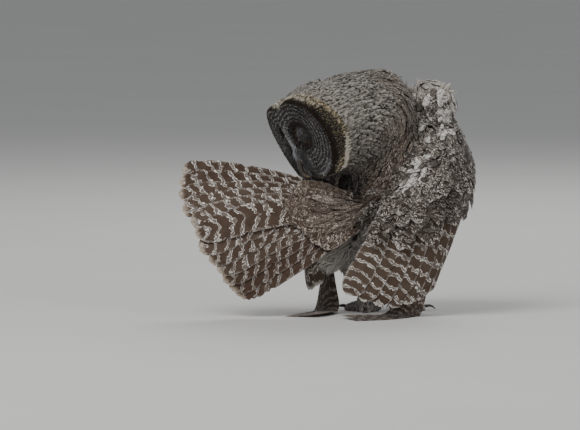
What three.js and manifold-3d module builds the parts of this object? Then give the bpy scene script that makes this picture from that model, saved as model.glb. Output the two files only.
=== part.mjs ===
// Great grey owl, life size, standing with its back to the viewer and preening its fanned tail.
// Millimetres, +Z up, the floor at Z 0. The owl looks away along +Y, and its tail is swung to -X.
// Body, neck and head are lofts parted by thin cuts. Each wing and the tail is one closed body that
// carries its flight feathers as thin overlapping vanes.
import * as THREE from "three";
import { mergeVertices } from "three/addons/utils/BufferGeometryUtils.js";
import Module from "manifold-3d";

const wasm = await Module();
wasm.setup();

// Driving sizes
const GAP = 0.35; // clear space between neighbouring pieces
const VANE = 0.8; // thickness of a flight feather at its shaft
const VANE_EDGE = 0.55; // thickness of a vane at its edges
const LAP_GAP = 1; // space kept between vanes that lie over one another
const STACK_GAP = 0.5; // the same in a folded hand
const MOST_BEND = 0.03; // sharpest bend across a vane, one over its radius
const MOST_TILT = 0.36; // steepest tilt of a vane about its shaft, as a sine
const TIP_SHARE = 0.7; // beyond this share of its length a vane's own length varies
const STEP = 0.01; // share of a sheet over which its directions are measured
const TRIM = 0.05; // the smallest detail kept where pieces are joined
const MERGE = 1e-3; // points nearer than this are one point
const TORSO_SIDES = 32;
const HEAD_CENTRE = [-91, -50, 303];
const HEAD_R = { up: 77, side: 88 }; // the feathered head behind the disc
const FACE_TURN = 61.6; // degrees that the face turns from the viewer towards the tail
const FACE_DROP = 26.5; // degrees that the face looks down
const FACE_LEAN = 13.9; // degrees that the crown leans towards the tail
const FACE_FRONT = 62; // from the head's centre to the face plane
const DISC = { top: 61, side: 97, bottom: 61, notch: 4, setBack: 15 };
const EYE = { side: 27, up: 9, radius: 10 };
const NECK_R = [76, 85];
const NECK_END = [30, 12, 315];
const LEG_X = [-20, 38];
const LEG_Y = 14;
const TAIL_ROOT = [-14, -62, 172];
const RECTRICES = 12;
const PRIMARIES = 7;
const LAID = (PRIMARIES - 1) * (VANE + STACK_GAP) + VANE / 2; // the top wing-tip vane, over the floor
const SECONDARIES = 13;
const WRIST_R = 35;
const SHANK_R = { top: 25, ankle: 12.5 };
const CLAW_R = 4.2;
const LID_R = 13;
const FLOOR = 0;

// Trunk outline: height, centre x, centre y, half width, half depth
const TORSO = [
  [36, 4, 16, 26, 24],
  [44, 5, 15, 46, 42],
  [70, 6, 15, 66, 60],
  [115, 8, 14, 80, 74],
  [170, 13, 14, 86, 80],
  [228, 24, 16, 84, 80],
  [280, 38, 18, 72, 72],
  [318, 50, 20, 54, 55],
  [338, 54, 22, 31, 33],
  [345, 55, 22, 12, 13],
];

const v3 = (p) => new THREE.Vector3(...p);
const curve = (points) => new THREE.CatmullRomCurve3(points.map(v3), false, "centripetal");
const mix = (a, b, t) => a + (b - a) * t;
const smooth = (a, b, t) => THREE.MathUtils.smoothstep(t, a, b);
const radians = THREE.MathUtils.degToRad;

// A seeded random number from 0 to 1, so that each run gives the same feathers.
function seeded(seed) {
  let s = seed;
  return () => {
    s = (s * 1664525 + 1013904223) % 4294967296;
    return s / 4294967296;
  };
}

// A closed solid from points and triangles, turned to face outwards.
function solid(points, faces) {
  const vertProperties = new Float32Array(points.flatMap((p) => [p.x, p.y, p.z]));
  const made = new wasm.Manifold(
    new wasm.Mesh({ numProp: 3, vertProperties, triVerts: new Uint32Array(faces.flat()) }),
  );
  if (made.volume() > 0) return made;
  const turned = faces.map(([a, b, c]) => [a, c, b]);
  return new wasm.Manifold(
    new wasm.Mesh({ numProp: 3, vertProperties, triVerts: new Uint32Array(turned.flat()) }),
  );
}

// A solid through rings of equal count, closed at both ends by fans to the rings' middles.
function loft(rings) {
  const n = rings[0].length;
  const points = rings.flat();
  const faces = [];
  for (let i = 0; i + 1 < rings.length; i++)
    for (let j = 0; j < n; j++) {
      const a = i * n + j;
      const b = i * n + ((j + 1) % n);
      faces.push([a, b, b + n], [a, b + n, a + n]);
    }
  const ends = [rings[0], rings[rings.length - 1]];
  ends.forEach((ring, end) => {
    const middle = points.length;
    points.push(ring.reduce((s, p) => s.add(p), new THREE.Vector3()).divideScalar(n));
    const first = end * (rings.length - 1) * n;
    for (let j = 0; j < n; j++) {
      const a = first + j;
      const b = first + ((j + 1) % n);
      faces.push(end ? [a, b, middle] : [b, a, middle]);
    }
  });
  return solid(points, faces);
}

// An ellipse round a centre, along two half axes.
function ellipse(centre, across, up, sides) {
  return Array.from({ length: sides }, (_, k) => {
    const a = (2 * Math.PI * k) / sides;
    return centre.clone().addScaledVector(across, Math.cos(a)).addScaledVector(up, Math.sin(a));
  });
}

// A round-sectioned tube along a curve. radius and flat give the half width and the share of it in height.
function limb(path, radius, { sides = 10, steps = 8, up = [0, 0, 1], flat = () => 1 } = {}) {
  const rings = [];
  for (let i = 0; i <= steps; i++) {
    const t = i / steps;
    const along = path.getTangentAt(t);
    const across = v3(up).cross(along).normalize();
    const over = along.clone().cross(across);
    const r = radius(t);
    rings.push(
      ellipse(path.getPointAt(t), across.multiplyScalar(r), over.multiplyScalar(r * flat(t)), sides),
    );
  }
  return loft(rings);
}

// Joins closed solids and keeps the largest body.
function fuse(pieces) {
  return largest(wasm.Manifold.union(pieces).simplify(TRIM));
}

function largest(made) {
  const bodies = made.decompose();
  return bodies.reduce((a, b) => (b.volume() > a.volume() ? b : a));
}

// Brings points that nearly meet together and keeps the largest body, until nothing changes.
function settle(made) {
  let kept = made;
  for (let round = 0; round < 12; round++) {
    const merged = mergeVertices(surfaceOf(kept).toNonIndexed(), MERGE);
    const next = largest(
      new wasm.Manifold(
        new wasm.Mesh({
          numProp: 3,
          vertProperties: merged.attributes.position.array,
          triVerts: new Uint32Array(merged.index.array),
        }),
      ),
    );
    const settled = next.numTri() === kept.numTri();
    kept = next;
    if (settled) break;
  }
  return kept;
}

function surfaceOf(made) {
  const mesh = made.getMesh();
  const geometry = new THREE.BufferGeometry();
  geometry.setAttribute("position", new THREE.BufferAttribute(mesh.vertProperties, 3));
  geometry.setIndex(new THREE.BufferAttribute(mesh.triVerts, 1));
  return geometry;
}

// Keeps the side of a plane that its normal points to, short of the plane by half the gap.
function keepSide(made, point, normal) {
  const n = v3(normal).normalize();
  return largest(made.trimByPlane([n.x, n.y, n.z], v3(point).dot(n) + GAP / 2));
}

// Trunk
function torso(grow = 0) {
  const heights = curve(TORSO.map(([z, x, y]) => [x, y, z]));
  const radii = curve(TORSO.map(([z, , , rx, ry]) => [rx, ry, z]));
  const steps = 14;
  const rings = [];
  for (let i = 0; i <= steps; i++) {
    const t = i / steps;
    const c = heights.getPoint(t);
    const r = radii.getPoint(t);
    const lift = grow * mix(-1, 1, t);
    c.z += lift;
    rings.push(
      ellipse(c, new THREE.Vector3(r.x + grow, 0, 0), new THREE.Vector3(0, r.y + grow, 0), TORSO_SIDES),
    );
  }
  return loft(rings);
}

// The head's own axes: forward out of the face, left, and up to the crown.
const turn = radians(FACE_TURN);
const drop = radians(FACE_DROP);
const FORWARD = new THREE.Vector3(
  -Math.cos(drop) * Math.sin(turn),
  -Math.cos(drop) * Math.cos(turn),
  -Math.sin(drop),
);
const LEFT = new THREE.Vector3(0, 0, 1)
  .cross(FORWARD)
  .normalize()
  .applyAxisAngle(FORWARD, radians(FACE_LEAN));
const UP = FORWARD.clone().cross(LEFT);

function headPoint(left, up, forward) {
  return v3(HEAD_CENTRE)
    .addScaledVector(LEFT, left)
    .addScaledVector(UP, up)
    .addScaledVector(FORWARD, forward);
}

// Disc outline: distance from the face's middle to the rim, at an angle from straight up.
function rimRadius(angle) {
  const side = Math.abs(Math.sin(angle));
  const end = Math.cos(angle) > 0 ? DISC.top : DISC.bottom;
  return mix(end, DISC.side, side ** 1.2) - DISC.notch * Math.exp(-((side / 0.42) ** 2));
}

// How far forward the rim stands: the sides lie further back.
function rimForward(angle) {
  return FACE_FRONT - 6 - DISC.setBack * Math.abs(Math.sin(angle)) ** 2.2;
}

// How far forward the face stands inside the rim: a dish round each eye, a ridge down the middle.
function faceForward(left, up, share, angle) {
  const side = Math.abs(left);
  const dish = 7 * Math.exp(-(((side - 36) / 28) ** 2) - (up / 34) ** 2);
  const ridge = 6 * Math.exp(-((left / 9) ** 2)) * smooth(-62, -20, up);
  return mix(FACE_FRONT, rimForward(angle), share ** 1.7) + ridge - dish * (1 - share ** 5);
}

function head(grow = 0) {
  const sides = 36;
  const rings = [];
  const ring = (point) =>
    rings.push(Array.from({ length: sides }, (_, k) => point((2 * Math.PI * k) / sides)));
  for (const share of [0.08, 0.26, 0.44, 0.62, 0.8, 0.96])
    ring((a) => {
      const r = rimRadius(a) * share + grow;
      const left = r * Math.sin(a);
      const up = r * Math.cos(a);
      return headPoint(left, up, faceForward(left, up, share, a) + grow);
    });
  ring((a) => {
    const r = rimRadius(a) + 3 + grow;
    return headPoint(r * Math.sin(a), r * Math.cos(a), rimForward(a) + 3 + grow);
  });
  const back = [
    [0.12, 1],
    [0.3, 1],
    [0.5, 0.98],
    [0.68, 0.87],
    [0.85, 0.64],
    [0.96, 0.34],
  ];
  for (const [t, width] of back)
    ring((a) => {
      const edge = rimRadius(a) + 6;
      const full = Math.hypot(HEAD_R.side * Math.sin(a), HEAD_R.up * Math.cos(a));
      const r = mix(edge, full, smooth(0, 0.45, t)) * width + grow;
      return headPoint(r * Math.sin(a), r * Math.cos(a), mix(rimForward(a), -70, t) - grow * t);
    });
  return loft(rings);
}

// The neck runs from inside the head to inside the trunk.
function neck(grow = 0) {
  const start = v3(HEAD_CENTRE).addScaledVector(FORWARD, -4).addScaledVector(UP, -2);
  const end = v3(NECK_END);
  const middle = start.clone().lerp(end, 0.5).add(v3([0, 0, 2]));
  const path = new THREE.CatmullRomCurve3([start, middle, end]);
  const rings = [];
  const steps = 10;
  for (let i = 0; i <= steps; i++) {
    const t = i / steps;
    const along = path.getTangentAt(t);
    const across = new THREE.Vector3(0, 0, 1).cross(along).normalize();
    const over = along.clone().cross(across);
    const round = Math.min(1, Math.sin(Math.PI * mix(0.22, 0.8, t)) * 1.25) ** 0.8;
    const r = mix(NECK_R[0], NECK_R[1], t) * round + grow;
    rings.push(ellipse(path.getPointAt(t), across.multiplyScalar(r), over.multiplyScalar(r), 32));
  }
  return loft(rings);
}

// Feathers

// A thin vane: each station has a middle, a direction across, an outward normal, a half width and a sag
// of the edges. Both faces are split into triangles alike.
function vane(stations) {
  const points = [];
  for (const s of stations) {
    const edge = (w) =>
      s.middle
        .clone()
        .addScaledVector(s.across, w)
        .addScaledVector(s.normal, -s.sag * w * w);
    const columns = [edge(-s.half), s.middle, edge(s.half)];
    const half = [VANE_EDGE / 2, s.thick / 2, VANE_EDGE / 2];
    for (const side of [1, -1])
      columns.forEach((p, k) => points.push(p.clone().addScaledVector(s.normal, side * half[k])));
  }
  const faces = [];
  const at = (i, side, k) => i * 6 + side * 3 + k;
  for (let i = 0; i + 1 < stations.length; i++) {
    for (let k = 0; k < 2; k++)
      for (const side of [0, 1]) {
        const [a, b] = [at(i, side, k), at(i + 1, side, k)];
        const [c, d] = [at(i + 1, side, k + 1), at(i, side, k + 1)];
        faces.push(...(side ? [[a, c, b], [a, d, c]] : [[a, b, c], [a, c, d]]));
      }
    for (const k of [0, 2]) {
      const [a, b, c, d] = [at(i, 0, k), at(i, 1, k), at(i + 1, 1, k), at(i + 1, 0, k)];
      faces.push(...(k ? [[a, d, c], [a, c, b]] : [[a, b, c], [a, c, d]]));
    }
  }
  for (const i of [0, stations.length - 1])
    for (let k = 0; k < 2; k++) {
      const [a, b, c, d] = [at(i, 0, k), at(i, 0, k + 1), at(i, 1, k + 1), at(i, 1, k)];
      faces.push(...(i ? [[a, c, b], [a, d, c]] : [[a, b, c], [a, c, d]]));
    }
  return solid(points, faces);
}

// Width along a feather, as a share of its full half width: narrow root, broad middle, rounded tip.
const BROAD = [[0, 0.3], [0.28, 0.7], [0.5, 0.92], [0.7, 1], [0.87, 0.95], [0.96, 0.66], [1, 0.26]];
const SHORT = [[0, 0.45], [0.4, 0.95], [0.78, 0.92], [1, 0.3]];
const LONG = [[0, 0.3], [0.25, 0.85], [0.42, 1], [0.52, 1], [0.62, 1], [0.8, 0.94], [1, 0.3]];

// A sheet swept by a curve of roots, through curves of middles, to a curve of tips. u runs along a row of
// feathers, t from root to tip, and lift stands off on the side that `face` points to.
function sheet(ribs, face) {
  const curves = ribs.map(curve);
  const outward = v3(face);
  const flat = (u, t) => {
    const inside = THREE.MathUtils.clamp(u, 0, 1);
    const points = curves.map((c) => {
      const p = c.getPoint(inside);
      return inside === u ? p : p.addScaledVector(c.getTangent(inside), (u - inside) * c.getLength());
    });
    return new THREE.CatmullRomCurve3(points, false, "catmullrom", 0.5).getPoint(
      THREE.MathUtils.clamp(t, 0, 1),
    );
  };
  const frame = (u, t) => {
    const [before, after] = [Math.max(0, t - STEP), Math.min(1, t + STEP)];
    const run = flat(u, after).sub(flat(u, before)).divideScalar(after - before);
    const spread = flat(u + STEP, t).sub(flat(u - STEP, t)).divideScalar(2 * STEP);
    const pace = run.length();
    const along = run.divideScalar(pace);
    const slant = spread.dot(along);
    const across = spread.addScaledVector(along, -slant);
    const size = across.length();
    across.divideScalar(size);
    const normal = across.clone().cross(along);
    if (normal.dot(outward) < 0) normal.negate();
    return { along, across, size, normal, slant, pace };
  };
  // How sharply the sheet bends across a feather: one over its radius, positive where it bulges outwards.
  const bend = (u, t) => {
    const e = 4 * STEP;
    const { across, size, slant, pace } = frame(u, t);
    const [before, after] = [Math.max(0, t - e), Math.min(1, t + e)];
    const run = (after - before) * pace;
    const turnAlong = frame(u, after).normal.sub(frame(u, before).normal).divideScalar(run);
    const turnSpread = frame(u + e, t).normal.sub(frame(u - e, t).normal).divideScalar(2 * e);
    const sharp = turnSpread.addScaledVector(turnAlong, -slant).divideScalar(size).dot(across);
    return THREE.MathUtils.clamp(sharp, -MOST_BEND, MOST_BEND);
  };
  return { frame, bend, at: (u, t, lift = 0) => flat(u, t).addScaledVector(frame(u, t).normal, lift) };
}

// A row of vanes on a sheet, from share `from` to share `to` of its length. Each vane is tilted about its
// shaft just enough to clear the next, and bent as the sheet bends. The vane numbered `top` lies over all
// the others. Roots sink by `dive` and tips stand off by `flare`.
function feathers(on, row) {
  const { count, width, from = 0, to = () => 1, lift = 0, top = count - 1 } = row;
  const { shape = BROAD, vary = 0.03, seed = 1, dive = 0, flare = 0 } = row;
  const random = seeded(seed);
  const pitch = VANE + LAP_GAP;
  return Array.from({ length: count }, (_, k) => {
    const u = k / (count - 1);
    const shorter = 1 - vary * random();
    const side = Math.sign(top - k);
    return vane(
      shape.map(([share, wide]) => {
        const t = mix(from, to(u), share > TIP_SHARE ? share * shorter : share);
        const { along, across, size, normal } = on.frame(u, t);
        const spacing = size / (count - 1);
        const half = width(u) * wide;
        const lean = Math.asin(Math.min(MOST_TILT, pitch / spacing));
        const tilt = side * lean * Math.sign(along.clone().cross(across).dot(normal));
        const rise = Math.max(0, half - spacing) * Math.tan(lean);
        const over = side ? -Math.max(0, k < top ? 0 : pitch + 2 * rise) : pitch + rise;
        const stand = lift + over - dive * (1 - share) ** 2 + flare * share ** 3;
        const middle = on.at(u, t, stand);
        across.applyAxisAngle(along, -tilt);
        normal.applyAxisAngle(along, -tilt);
        const thick = mix(VANE * 1.5, VANE, share);
        return { middle, across, normal, half, sag: on.bend(u, t) / 2, thick };
      }),
    );
  });
}

// A folded hand: vanes laid flat over one another in one stack, the last one on the sheet itself and
// the others under it.
function stack(on, { count, half, shape }) {
  return Array.from({ length: count }, (_, k) =>
    vane(
      shape.map(([share, wide]) => {
        const { across, normal } = on.frame(0.5, share);
        const spine = on.at(0.5, share);
        const aside = on.at(k / (count - 1), share).sub(spine).dot(across);
        const under = (count - 1 - k) * (VANE + STACK_GAP);
        const middle = spine.addScaledVector(across, aside).addScaledVector(normal, -under);
        return { middle, across, normal, half: half * wide, sag: 0, thick: VANE };
      }),
    ),
  );
}

// A cushion on a sheet: thickest in its middle, thin at its edges. It holds the roots of every row.
function cushion(on, { u, t, rise, depth, cells = [10, 5] }) {
  const [across, along] = cells;
  const rings = [];
  for (let i = 0; i <= across; i++) {
    const su = i / across;
    const end = Math.sin(Math.PI * mix(0.1, 0.9, su)) ** 0.5;
    const point = (st, side) => {
      const swell = Math.sin(Math.PI * mix(0.06, 0.94, st ** 0.8)) * end;
      return on.at(mix(u[0], u[1], su), mix(t[0], t[1], st), (side > 0 ? rise : -depth) * swell);
    };
    const ring = [];
    for (let j = 0; j <= along; j++) ring.push(point(j / along, 1));
    for (let j = along; j >= 0; j--) ring.push(point(j / along, -1));
    rings.push(ring);
  }
  return loft(rings);
}

// Tail: a short stump on the rump, twelve rectrices and the coverts above and below their roots.
function tail() {
  const [x, y, z] = TAIL_ROOT;
  const stump = limb(
    curve([[x + 14, y + 20, z + 2], [x - 8, y + 2, z - 2], [x - 44, y - 3, z - 8], [x - 84, y - 6, z - 14]]),
    (t) => mix(29, 6, t ** 0.9),
    { sides: 16, steps: 7, up: [0, -1, 0.3], flat: (t) => mix(0.9, 0.5, t) },
  );
  const fan = sheet(
    [
      [[x - 8, y + 2, z + 14], [x - 6, y - 4, z - 1], [x - 4, y - 8, z - 20]],
      [[x - 158, y, z + 42], [x - 154, y - 8, z - 8], [x - 112, y - 24, z - 74]],
      [
        [-318, -42, 234],
        [-322, -58, 200],
        [-312, -74, 157],
        [-294, -88, 121],
        [-272, -100, 85],
        [-250, -106, 54],
        [-230, -108, 37],
      ],
    ],
    [0, -1, 0.3],
  );
  const rectrices = feathers(fan, {
    count: RECTRICES,
    width: () => 23,
    from: 0.08,
    top: 5,
    vary: 0.05,
    seed: 5,
  });
  const upper = feathers(fan, {
    count: 7,
    width: () => 16,
    from: 0.02,
    to: (u) => 0.34 + 0.1 * Math.sin(Math.PI * u),
    lift: 10,
    top: 3,
    shape: SHORT,
    vary: 0.16,
    seed: 9,
    dive: 7,
  });
  const below = sheet(
    [
      [[x + 2, y + 22, z + 4], [x + 6, y + 28, z - 24], [x + 12, y + 30, z - 52]],
      [[x - 70, y + 24, z + 2], [x - 62, y + 20, z - 44], [x - 30, y + 22, z - 84]],
      [
        [x - 134, y + 22, z - 8],
        [x - 138, y + 8, z - 60],
        [x - 112, y + 6, z - 104],
        [x - 74, y + 16, z - 128],
      ],
    ],
    [0, 1, -0.3],
  );
  const under = feathers(below, { count: 8, width: () => 17, shape: SHORT, vary: 0.14, seed: 11 });
  return fuse([stump, ...rectrices, ...upper, ...under]);
}

// Right wing, on the viewer's side: a cushion over the arm, then each row of vanes.
function wingRight() {
  const fold = sheet(
    [
      [[104, 36, 300], [112, 2, 318], [108, -38, 300], [88, -66, 262], [52, -82, 226], [20, -88, 198]],
      [[128, 24, 226], [140, -18, 214], [130, -64, 176], [98, -96, 144], [48, -112, 128], [-6, -113, 124]],
      [
        [108, 2, 146],
        [99, -34, 114],
        [93, -66, 78],
        [84, -88, 46],
        [60, -104, 25],
        [26, -115, 15],
        [-14, -120, 18],
        [-54, -118, 34],
      ],
    ],
    [0.5, -1, 0],
  );
  const wrist = curve([[46, 6, 352], [84, -6, 345], [117, -4, 320]]);
  const shoulder = curve([[86, -6, 330], [94, -6, 300], [106, -10, 262]]);
  const pad = [
    cushion(fold, { u: [-0.03, 1.02], t: [0, 0.42], rise: 15, depth: 20 }),
    limb(wrist, (t) => WRIST_R * Math.sin(Math.PI * mix(0.16, 0.84, t)), { sides: 16, steps: 8 }),
    limb(shoulder, (t) => mix(29, 20, t), { sides: 14, steps: 6, up: [1, 0, 0] }),
  ];
  const hand = sheet(
    [
      [[104, -44, 232], [94, -54, 222], [84, -62, 212]],
      [[84, -60, 120], [74, -66, 114], [64, -72, 108]],
      [[62, -70, 36], [52, -74, 34], [42, -78, 32]],
      [[44, -92, LAID], [34, -93, LAID], [24, -94, LAID]],
      [[8, -140, LAID], [-4, -132, LAID], [-16, -124, LAID]],
      [[-34, -176, LAID], [-50, -164, LAID], [-52, -146, LAID], [-42, -126, LAID]],
    ],
    [0, -1, 0.5],
  );
  const rows = [
    stack(hand, { count: PRIMARIES, half: 16, shape: LONG }),
    feathers(fold, { count: SECONDARIES, width: (u) => mix(15, 21, u), from: 0.16, seed: 22 }),
    feathers(fold, {
      count: 11,
      width: () => 16,
      from: 0.1,
      to: (u) => mix(0.68, 0.58, u),
      lift: 7,
      shape: SHORT,
      vary: 0.08,
      seed: 23,
      dive: 5,
      flare: 15,
    }),
    feathers(fold, {
      count: 10,
      width: () => 16,
      from: 0.06,
      to: (u) => mix(0.42, 0.4, u),
      lift: 13,
      shape: SHORT,
      vary: 0.12,
      seed: 24,
      dive: 8,
      flare: 4,
    }),
  ];
  return fuse([...pad, ...rows.flat()]).trimByPlane([0, 0, 1], FLOOR);
}

// Left wing, on the far side: it hangs past the body and its tip is laid on the floor under the tail.
function wingLeft() {
  const fold = sheet(
    [
      [[-46, 92, 272], [-74, 68, 258], [-88, 34, 242], [-90, 4, 224], [-80, -22, 206]],
      [[-78, 98, 178], [-108, 68, 158], [-122, 34, 142], [-122, 2, 132], [-106, -24, 128]],
      [[-76, 78, 92], [-100, 58, 66], [-116, 30, 46], [-118, 4, 36], [-110, -20, 36], [-94, -36, 46]],
    ],
    [-1, 0, 0],
  );
  const hand = sheet(
    [
      [[-84, 50, 226], [-83, 39, 216], [-82, 28, 206]],
      [[-92, 40, 120], [-88, 30, 114], [-84, 20, 108]],
      [[-94, 28, 36], [-87, 18, 34], [-80, 8, 32]],
      [[-100, 0, LAID], [-91, -9, LAID], [-82, -18, LAID]],
      [[-118, -46, LAID], [-105, -54, LAID], [-92, -62, LAID]],
      [[-150, -92, LAID], [-132, -104, LAID], [-112, -104, LAID], [-98, -86, LAID]],
    ],
    [-1, 0, 0.5],
  );
  const pad = cushion(fold, { u: [-0.04, 1.02], t: [0, 0.42], rise: 12, depth: 22 });
  const rows = [
    stack(hand, { count: PRIMARIES, half: 15, shape: LONG }),
    feathers(fold, { count: SECONDARIES - 2, width: () => 15, from: 0.16, seed: 32 }),
    feathers(fold, {
      count: 9,
      width: () => 15,
      from: 0.1,
      to: () => 0.62,
      lift: 7,
      shape: SHORT,
      vary: 0.08,
      seed: 33,
      dive: 5,
    }),
  ];
  return fuse([pad, ...rows.flat()]).trimByPlane([0, 0, 1], FLOOR);
}

// Legs and feet: feathered shank, four toes with a flat under each, and a claw on each toe.
const TOES = [
  { name: "inner", aim: -24, length: 40, claw: 25 },
  { name: "middle", aim: 4, length: 47, claw: 27 },
  { name: "outer", aim: 62, length: 38, claw: 22 },
  { name: "back", aim: 172, length: 28, claw: 23 },
];
const TOE_R = 8.5;

function shank(x) {
  return limb(
    curve([[x, LEG_Y - 2, 84], [x, LEG_Y - 4, 50], [x, LEG_Y, 12]]),
    (t) => mix(SHANK_R.top, SHANK_R.ankle, t ** 0.8),
    { sides: 16, steps: 5, up: [0, 1, 0] },
  );
}

function toeWay(x, side, toe) {
  const a = radians(toe.aim * side);
  return { from: new THREE.Vector3(x, LEG_Y, 0), aim: new THREE.Vector3(Math.sin(a), Math.cos(a), 0) };
}

function foot(x, side) {
  const rise = curve([[x, LEG_Y, -2], [x, LEG_Y, 9], [x, LEG_Y, 20]]);
  const heel = limb(rise, (t) => mix(17, SHANK_R.ankle, t), { sides: 16, steps: 3, up: [0, 1, 0] });
  const toes = TOES.map((toe) => {
    const { from, aim } = toeWay(x, side, toe);
    const at = (d, z) => from.clone().addScaledVector(aim, d).setZ(z).toArray();
    const l = toe.length;
    const path = curve([at(2, 9), at(l * 0.45, 7), at(l * 0.8, 5.6), at(l + 4, 5)]);
    const whole = limb(path, (t) => mix(TOE_R + 1.5, TOE_R - 2, t), { sides: 10, steps: 4 });
    return keepSide(whole, at(toe.length, 0), aim.clone().negate().toArray());
  });
  return largest(fuse([heel, ...toes]).trimByPlane([0, 0, 1], FLOOR));
}

function claw(x, side, toe) {
  const { from, aim } = toeWay(x, side, toe);
  const at = (d, z) => from.clone().addScaledVector(aim, toe.length + d).setZ(z).toArray();
  const way = curve([at(-3, 5.6), at(toe.claw * 0.3, 7.6), at(toe.claw * 0.7, 6.2), at(toe.claw, 1.2)]);
  const horn = limb(way, (t) => mix(CLAW_R, 0.5, t ** 0.85), { sides: 8, steps: 5 });
  return keepSide(horn, at(0, 0), aim.toArray());
}

// Bill: two curved horns, the upper longer and hooked. Nostrils are pits in its side.
function bill(upper) {
  const p = (l, u, f) => headPoint(l, u, FACE_FRONT + f).toArray();
  const path = upper
    ? curve([p(0, -20, -12), p(0, -26, 2), p(0, -37, 9), p(0, -50, 9), p(0, -57, 3)])
    : curve([p(0, -33, -12), p(0, -38, -4), p(0, -44, 1), p(0, -50, 2)]);
  const size = upper ? (t) => mix(11, 0.9, t ** 1.1) : (t) => mix(7, 1, t ** 1.2);
  const made = limb(path, size, { sides: 12, steps: 8, up: LEFT.toArray(), flat: () => 0.82 });
  if (!upper) return made;
  const nostrils = [-1, 1].map((s) => {
    const way = curve([p(s * 4, -29, 4), p(s * 9, -30, 3), p(s * 14, -30, 2)]);
    return limb(way, () => 1.3, { sides: 8, steps: 2 });
  });
  return nostrils.reduce((a, b) => a.subtract(b), made);
}

// A point on the face near an eye, from the eye's middle.
function eyePoint(side, left, up, forward) {
  const l = EYE.side + left;
  const u = EYE.up + up;
  const surface = faceForward(EYE.side, EYE.up, 0.35, Math.PI / 2);
  return headPoint(side * l, u, surface + forward).toArray();
}

function eyeball(side, r) {
  const path = curve([-r, 0, r].map((f) => eyePoint(side, 0, 0, f - 6)));
  return limb(path, (t) => r * Math.sqrt(Math.max(0.02, 1 - (2 * t - 1) ** 2)), {
    sides: 14,
    steps: 7,
    up: LEFT.toArray(),
  });
}

// Closed lids: a low mound over each eye, parted by a curved slit.
function lids(side) {
  const path = curve([eyePoint(side, 0, 15, -7), eyePoint(side, 0, 0, -5), eyePoint(side, 0, -15, -7)]);
  return limb(path, (t) => LID_R * Math.sin(Math.PI * mix(0.1, 0.9, t)) ** 0.6, {
    sides: 10,
    steps: 5,
    up: FORWARD.toArray(),
  });
}

function slit(side) {
  const path = curve([
    eyePoint(side, -10, 2, 2),
    eyePoint(side, -4, -2, 6),
    eyePoint(side, 4, -2, 6),
    eyePoint(side, 10, 2, 2),
  ]);
  return limb(path, (t) => 4 + 2 * Math.sin(Math.PI * t), {
    sides: 6,
    steps: 5,
    up: UP.toArray(),
    flat: () => 0.16,
  });
}

const trunkRoom = torso(GAP);
const neckRoom = neck(GAP);
const headRoom = head(GAP);
const clear = (made, ...rooms) => largest(rooms.reduce((a, b) => a.subtract(b), made));

// Colours: base colour, roughness
const LOOKS = {
  feather: [0x6f655c, 0.95],
  pale: [0x8b8780, 0.95],
  face: [0x4a4744, 0.95],
  flight: [0x5a4a40, 0.9],
  horn: [0xb59a4a, 0.5],
  claw: [0x15130f, 0.35],
  eye: [0xd9a514, 0.1],
};

const owl = new THREE.Group();

function add(name, made, look) {
  const geometry = surfaceOf(settle(made));
  geometry.computeVertexNormals();
  const [color, roughness] = LOOKS[look];
  const material = new THREE.MeshStandardMaterial({ color, roughness, metalness: 0 });
  const node = new THREE.Mesh(geometry, material);
  node.name = name;
  owl.add(node);
}

// The head and the neck are one form, parted by a plane between them.
const parting = v3(HEAD_CENTRE).lerp(v3(NECK_END), 0.42);
const neckWay = v3(NECK_END).sub(v3(HEAD_CENTRE)).normalize();
const away = neckWay.clone().negate().toArray();
const headAndNeck = fuse([head(), neck()]);
const eyes = { right: eyeball(-1, EYE.radius), left: eyeball(1, EYE.radius) };
let headSolid = keepSide(headAndNeck, parting.toArray(), away);
headSolid = fuse([headSolid, lids(1), lids(-1)]);
for (const side of [1, -1])
  headSolid = headSolid.subtract(slit(side)).subtract(eyeball(side, EYE.radius + GAP));
headSolid = clear(headSolid, trunkRoom);
const neckSolid = clear(keepSide(headAndNeck, parting.toArray(), neckWay.toArray()), trunkRoom);

add("torso", torso(), "feather");
add("neck", neckSolid, "feather");
add("head", headSolid, "face");
add("eye_right", eyes.right, "eye");
add("eye_left", eyes.left, "eye");
add("bill_upper", clear(bill(true), headRoom), "horn");
add("bill_lower", clear(bill(false), headRoom, bill(true)), "horn");
add("tail", clear(tail(), trunkRoom), "flight");
add("wing_right", clear(wingRight(), trunkRoom, neckRoom), "flight");
add("wing_left", clear(wingLeft(), trunkRoom, neckRoom), "flight");

["left", "right"].forEach((name, k) => {
  const x = LEG_X[k];
  const side = k ? 1 : -1;
  const ankle = [x, LEG_Y, 18];
  add("leg_" + name, clear(keepSide(shank(x), ankle, [0, 0, 1]), trunkRoom), "pale");
  add("foot_" + name, keepSide(foot(x, side), ankle, [0, 0, -1]), "pale");
  for (const toe of TOES) add("claw_" + name + "_" + toe.name, claw(x, side, toe), "claw");
});

// The frame's origin is under the middle of the whole owl, on the floor.
const bounds = new THREE.Box3().setFromObject(owl);
const middle = bounds.getCenter(new THREE.Vector3());
owl.position.set(-middle.x, -middle.y, -bounds.min.z);

export default owl;
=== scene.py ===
import math

import bmesh
import bpy
import numpy as np
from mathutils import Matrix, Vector
from mathutils.bvhtree import BVHTree
from mathutils.kdtree import KDTree


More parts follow.
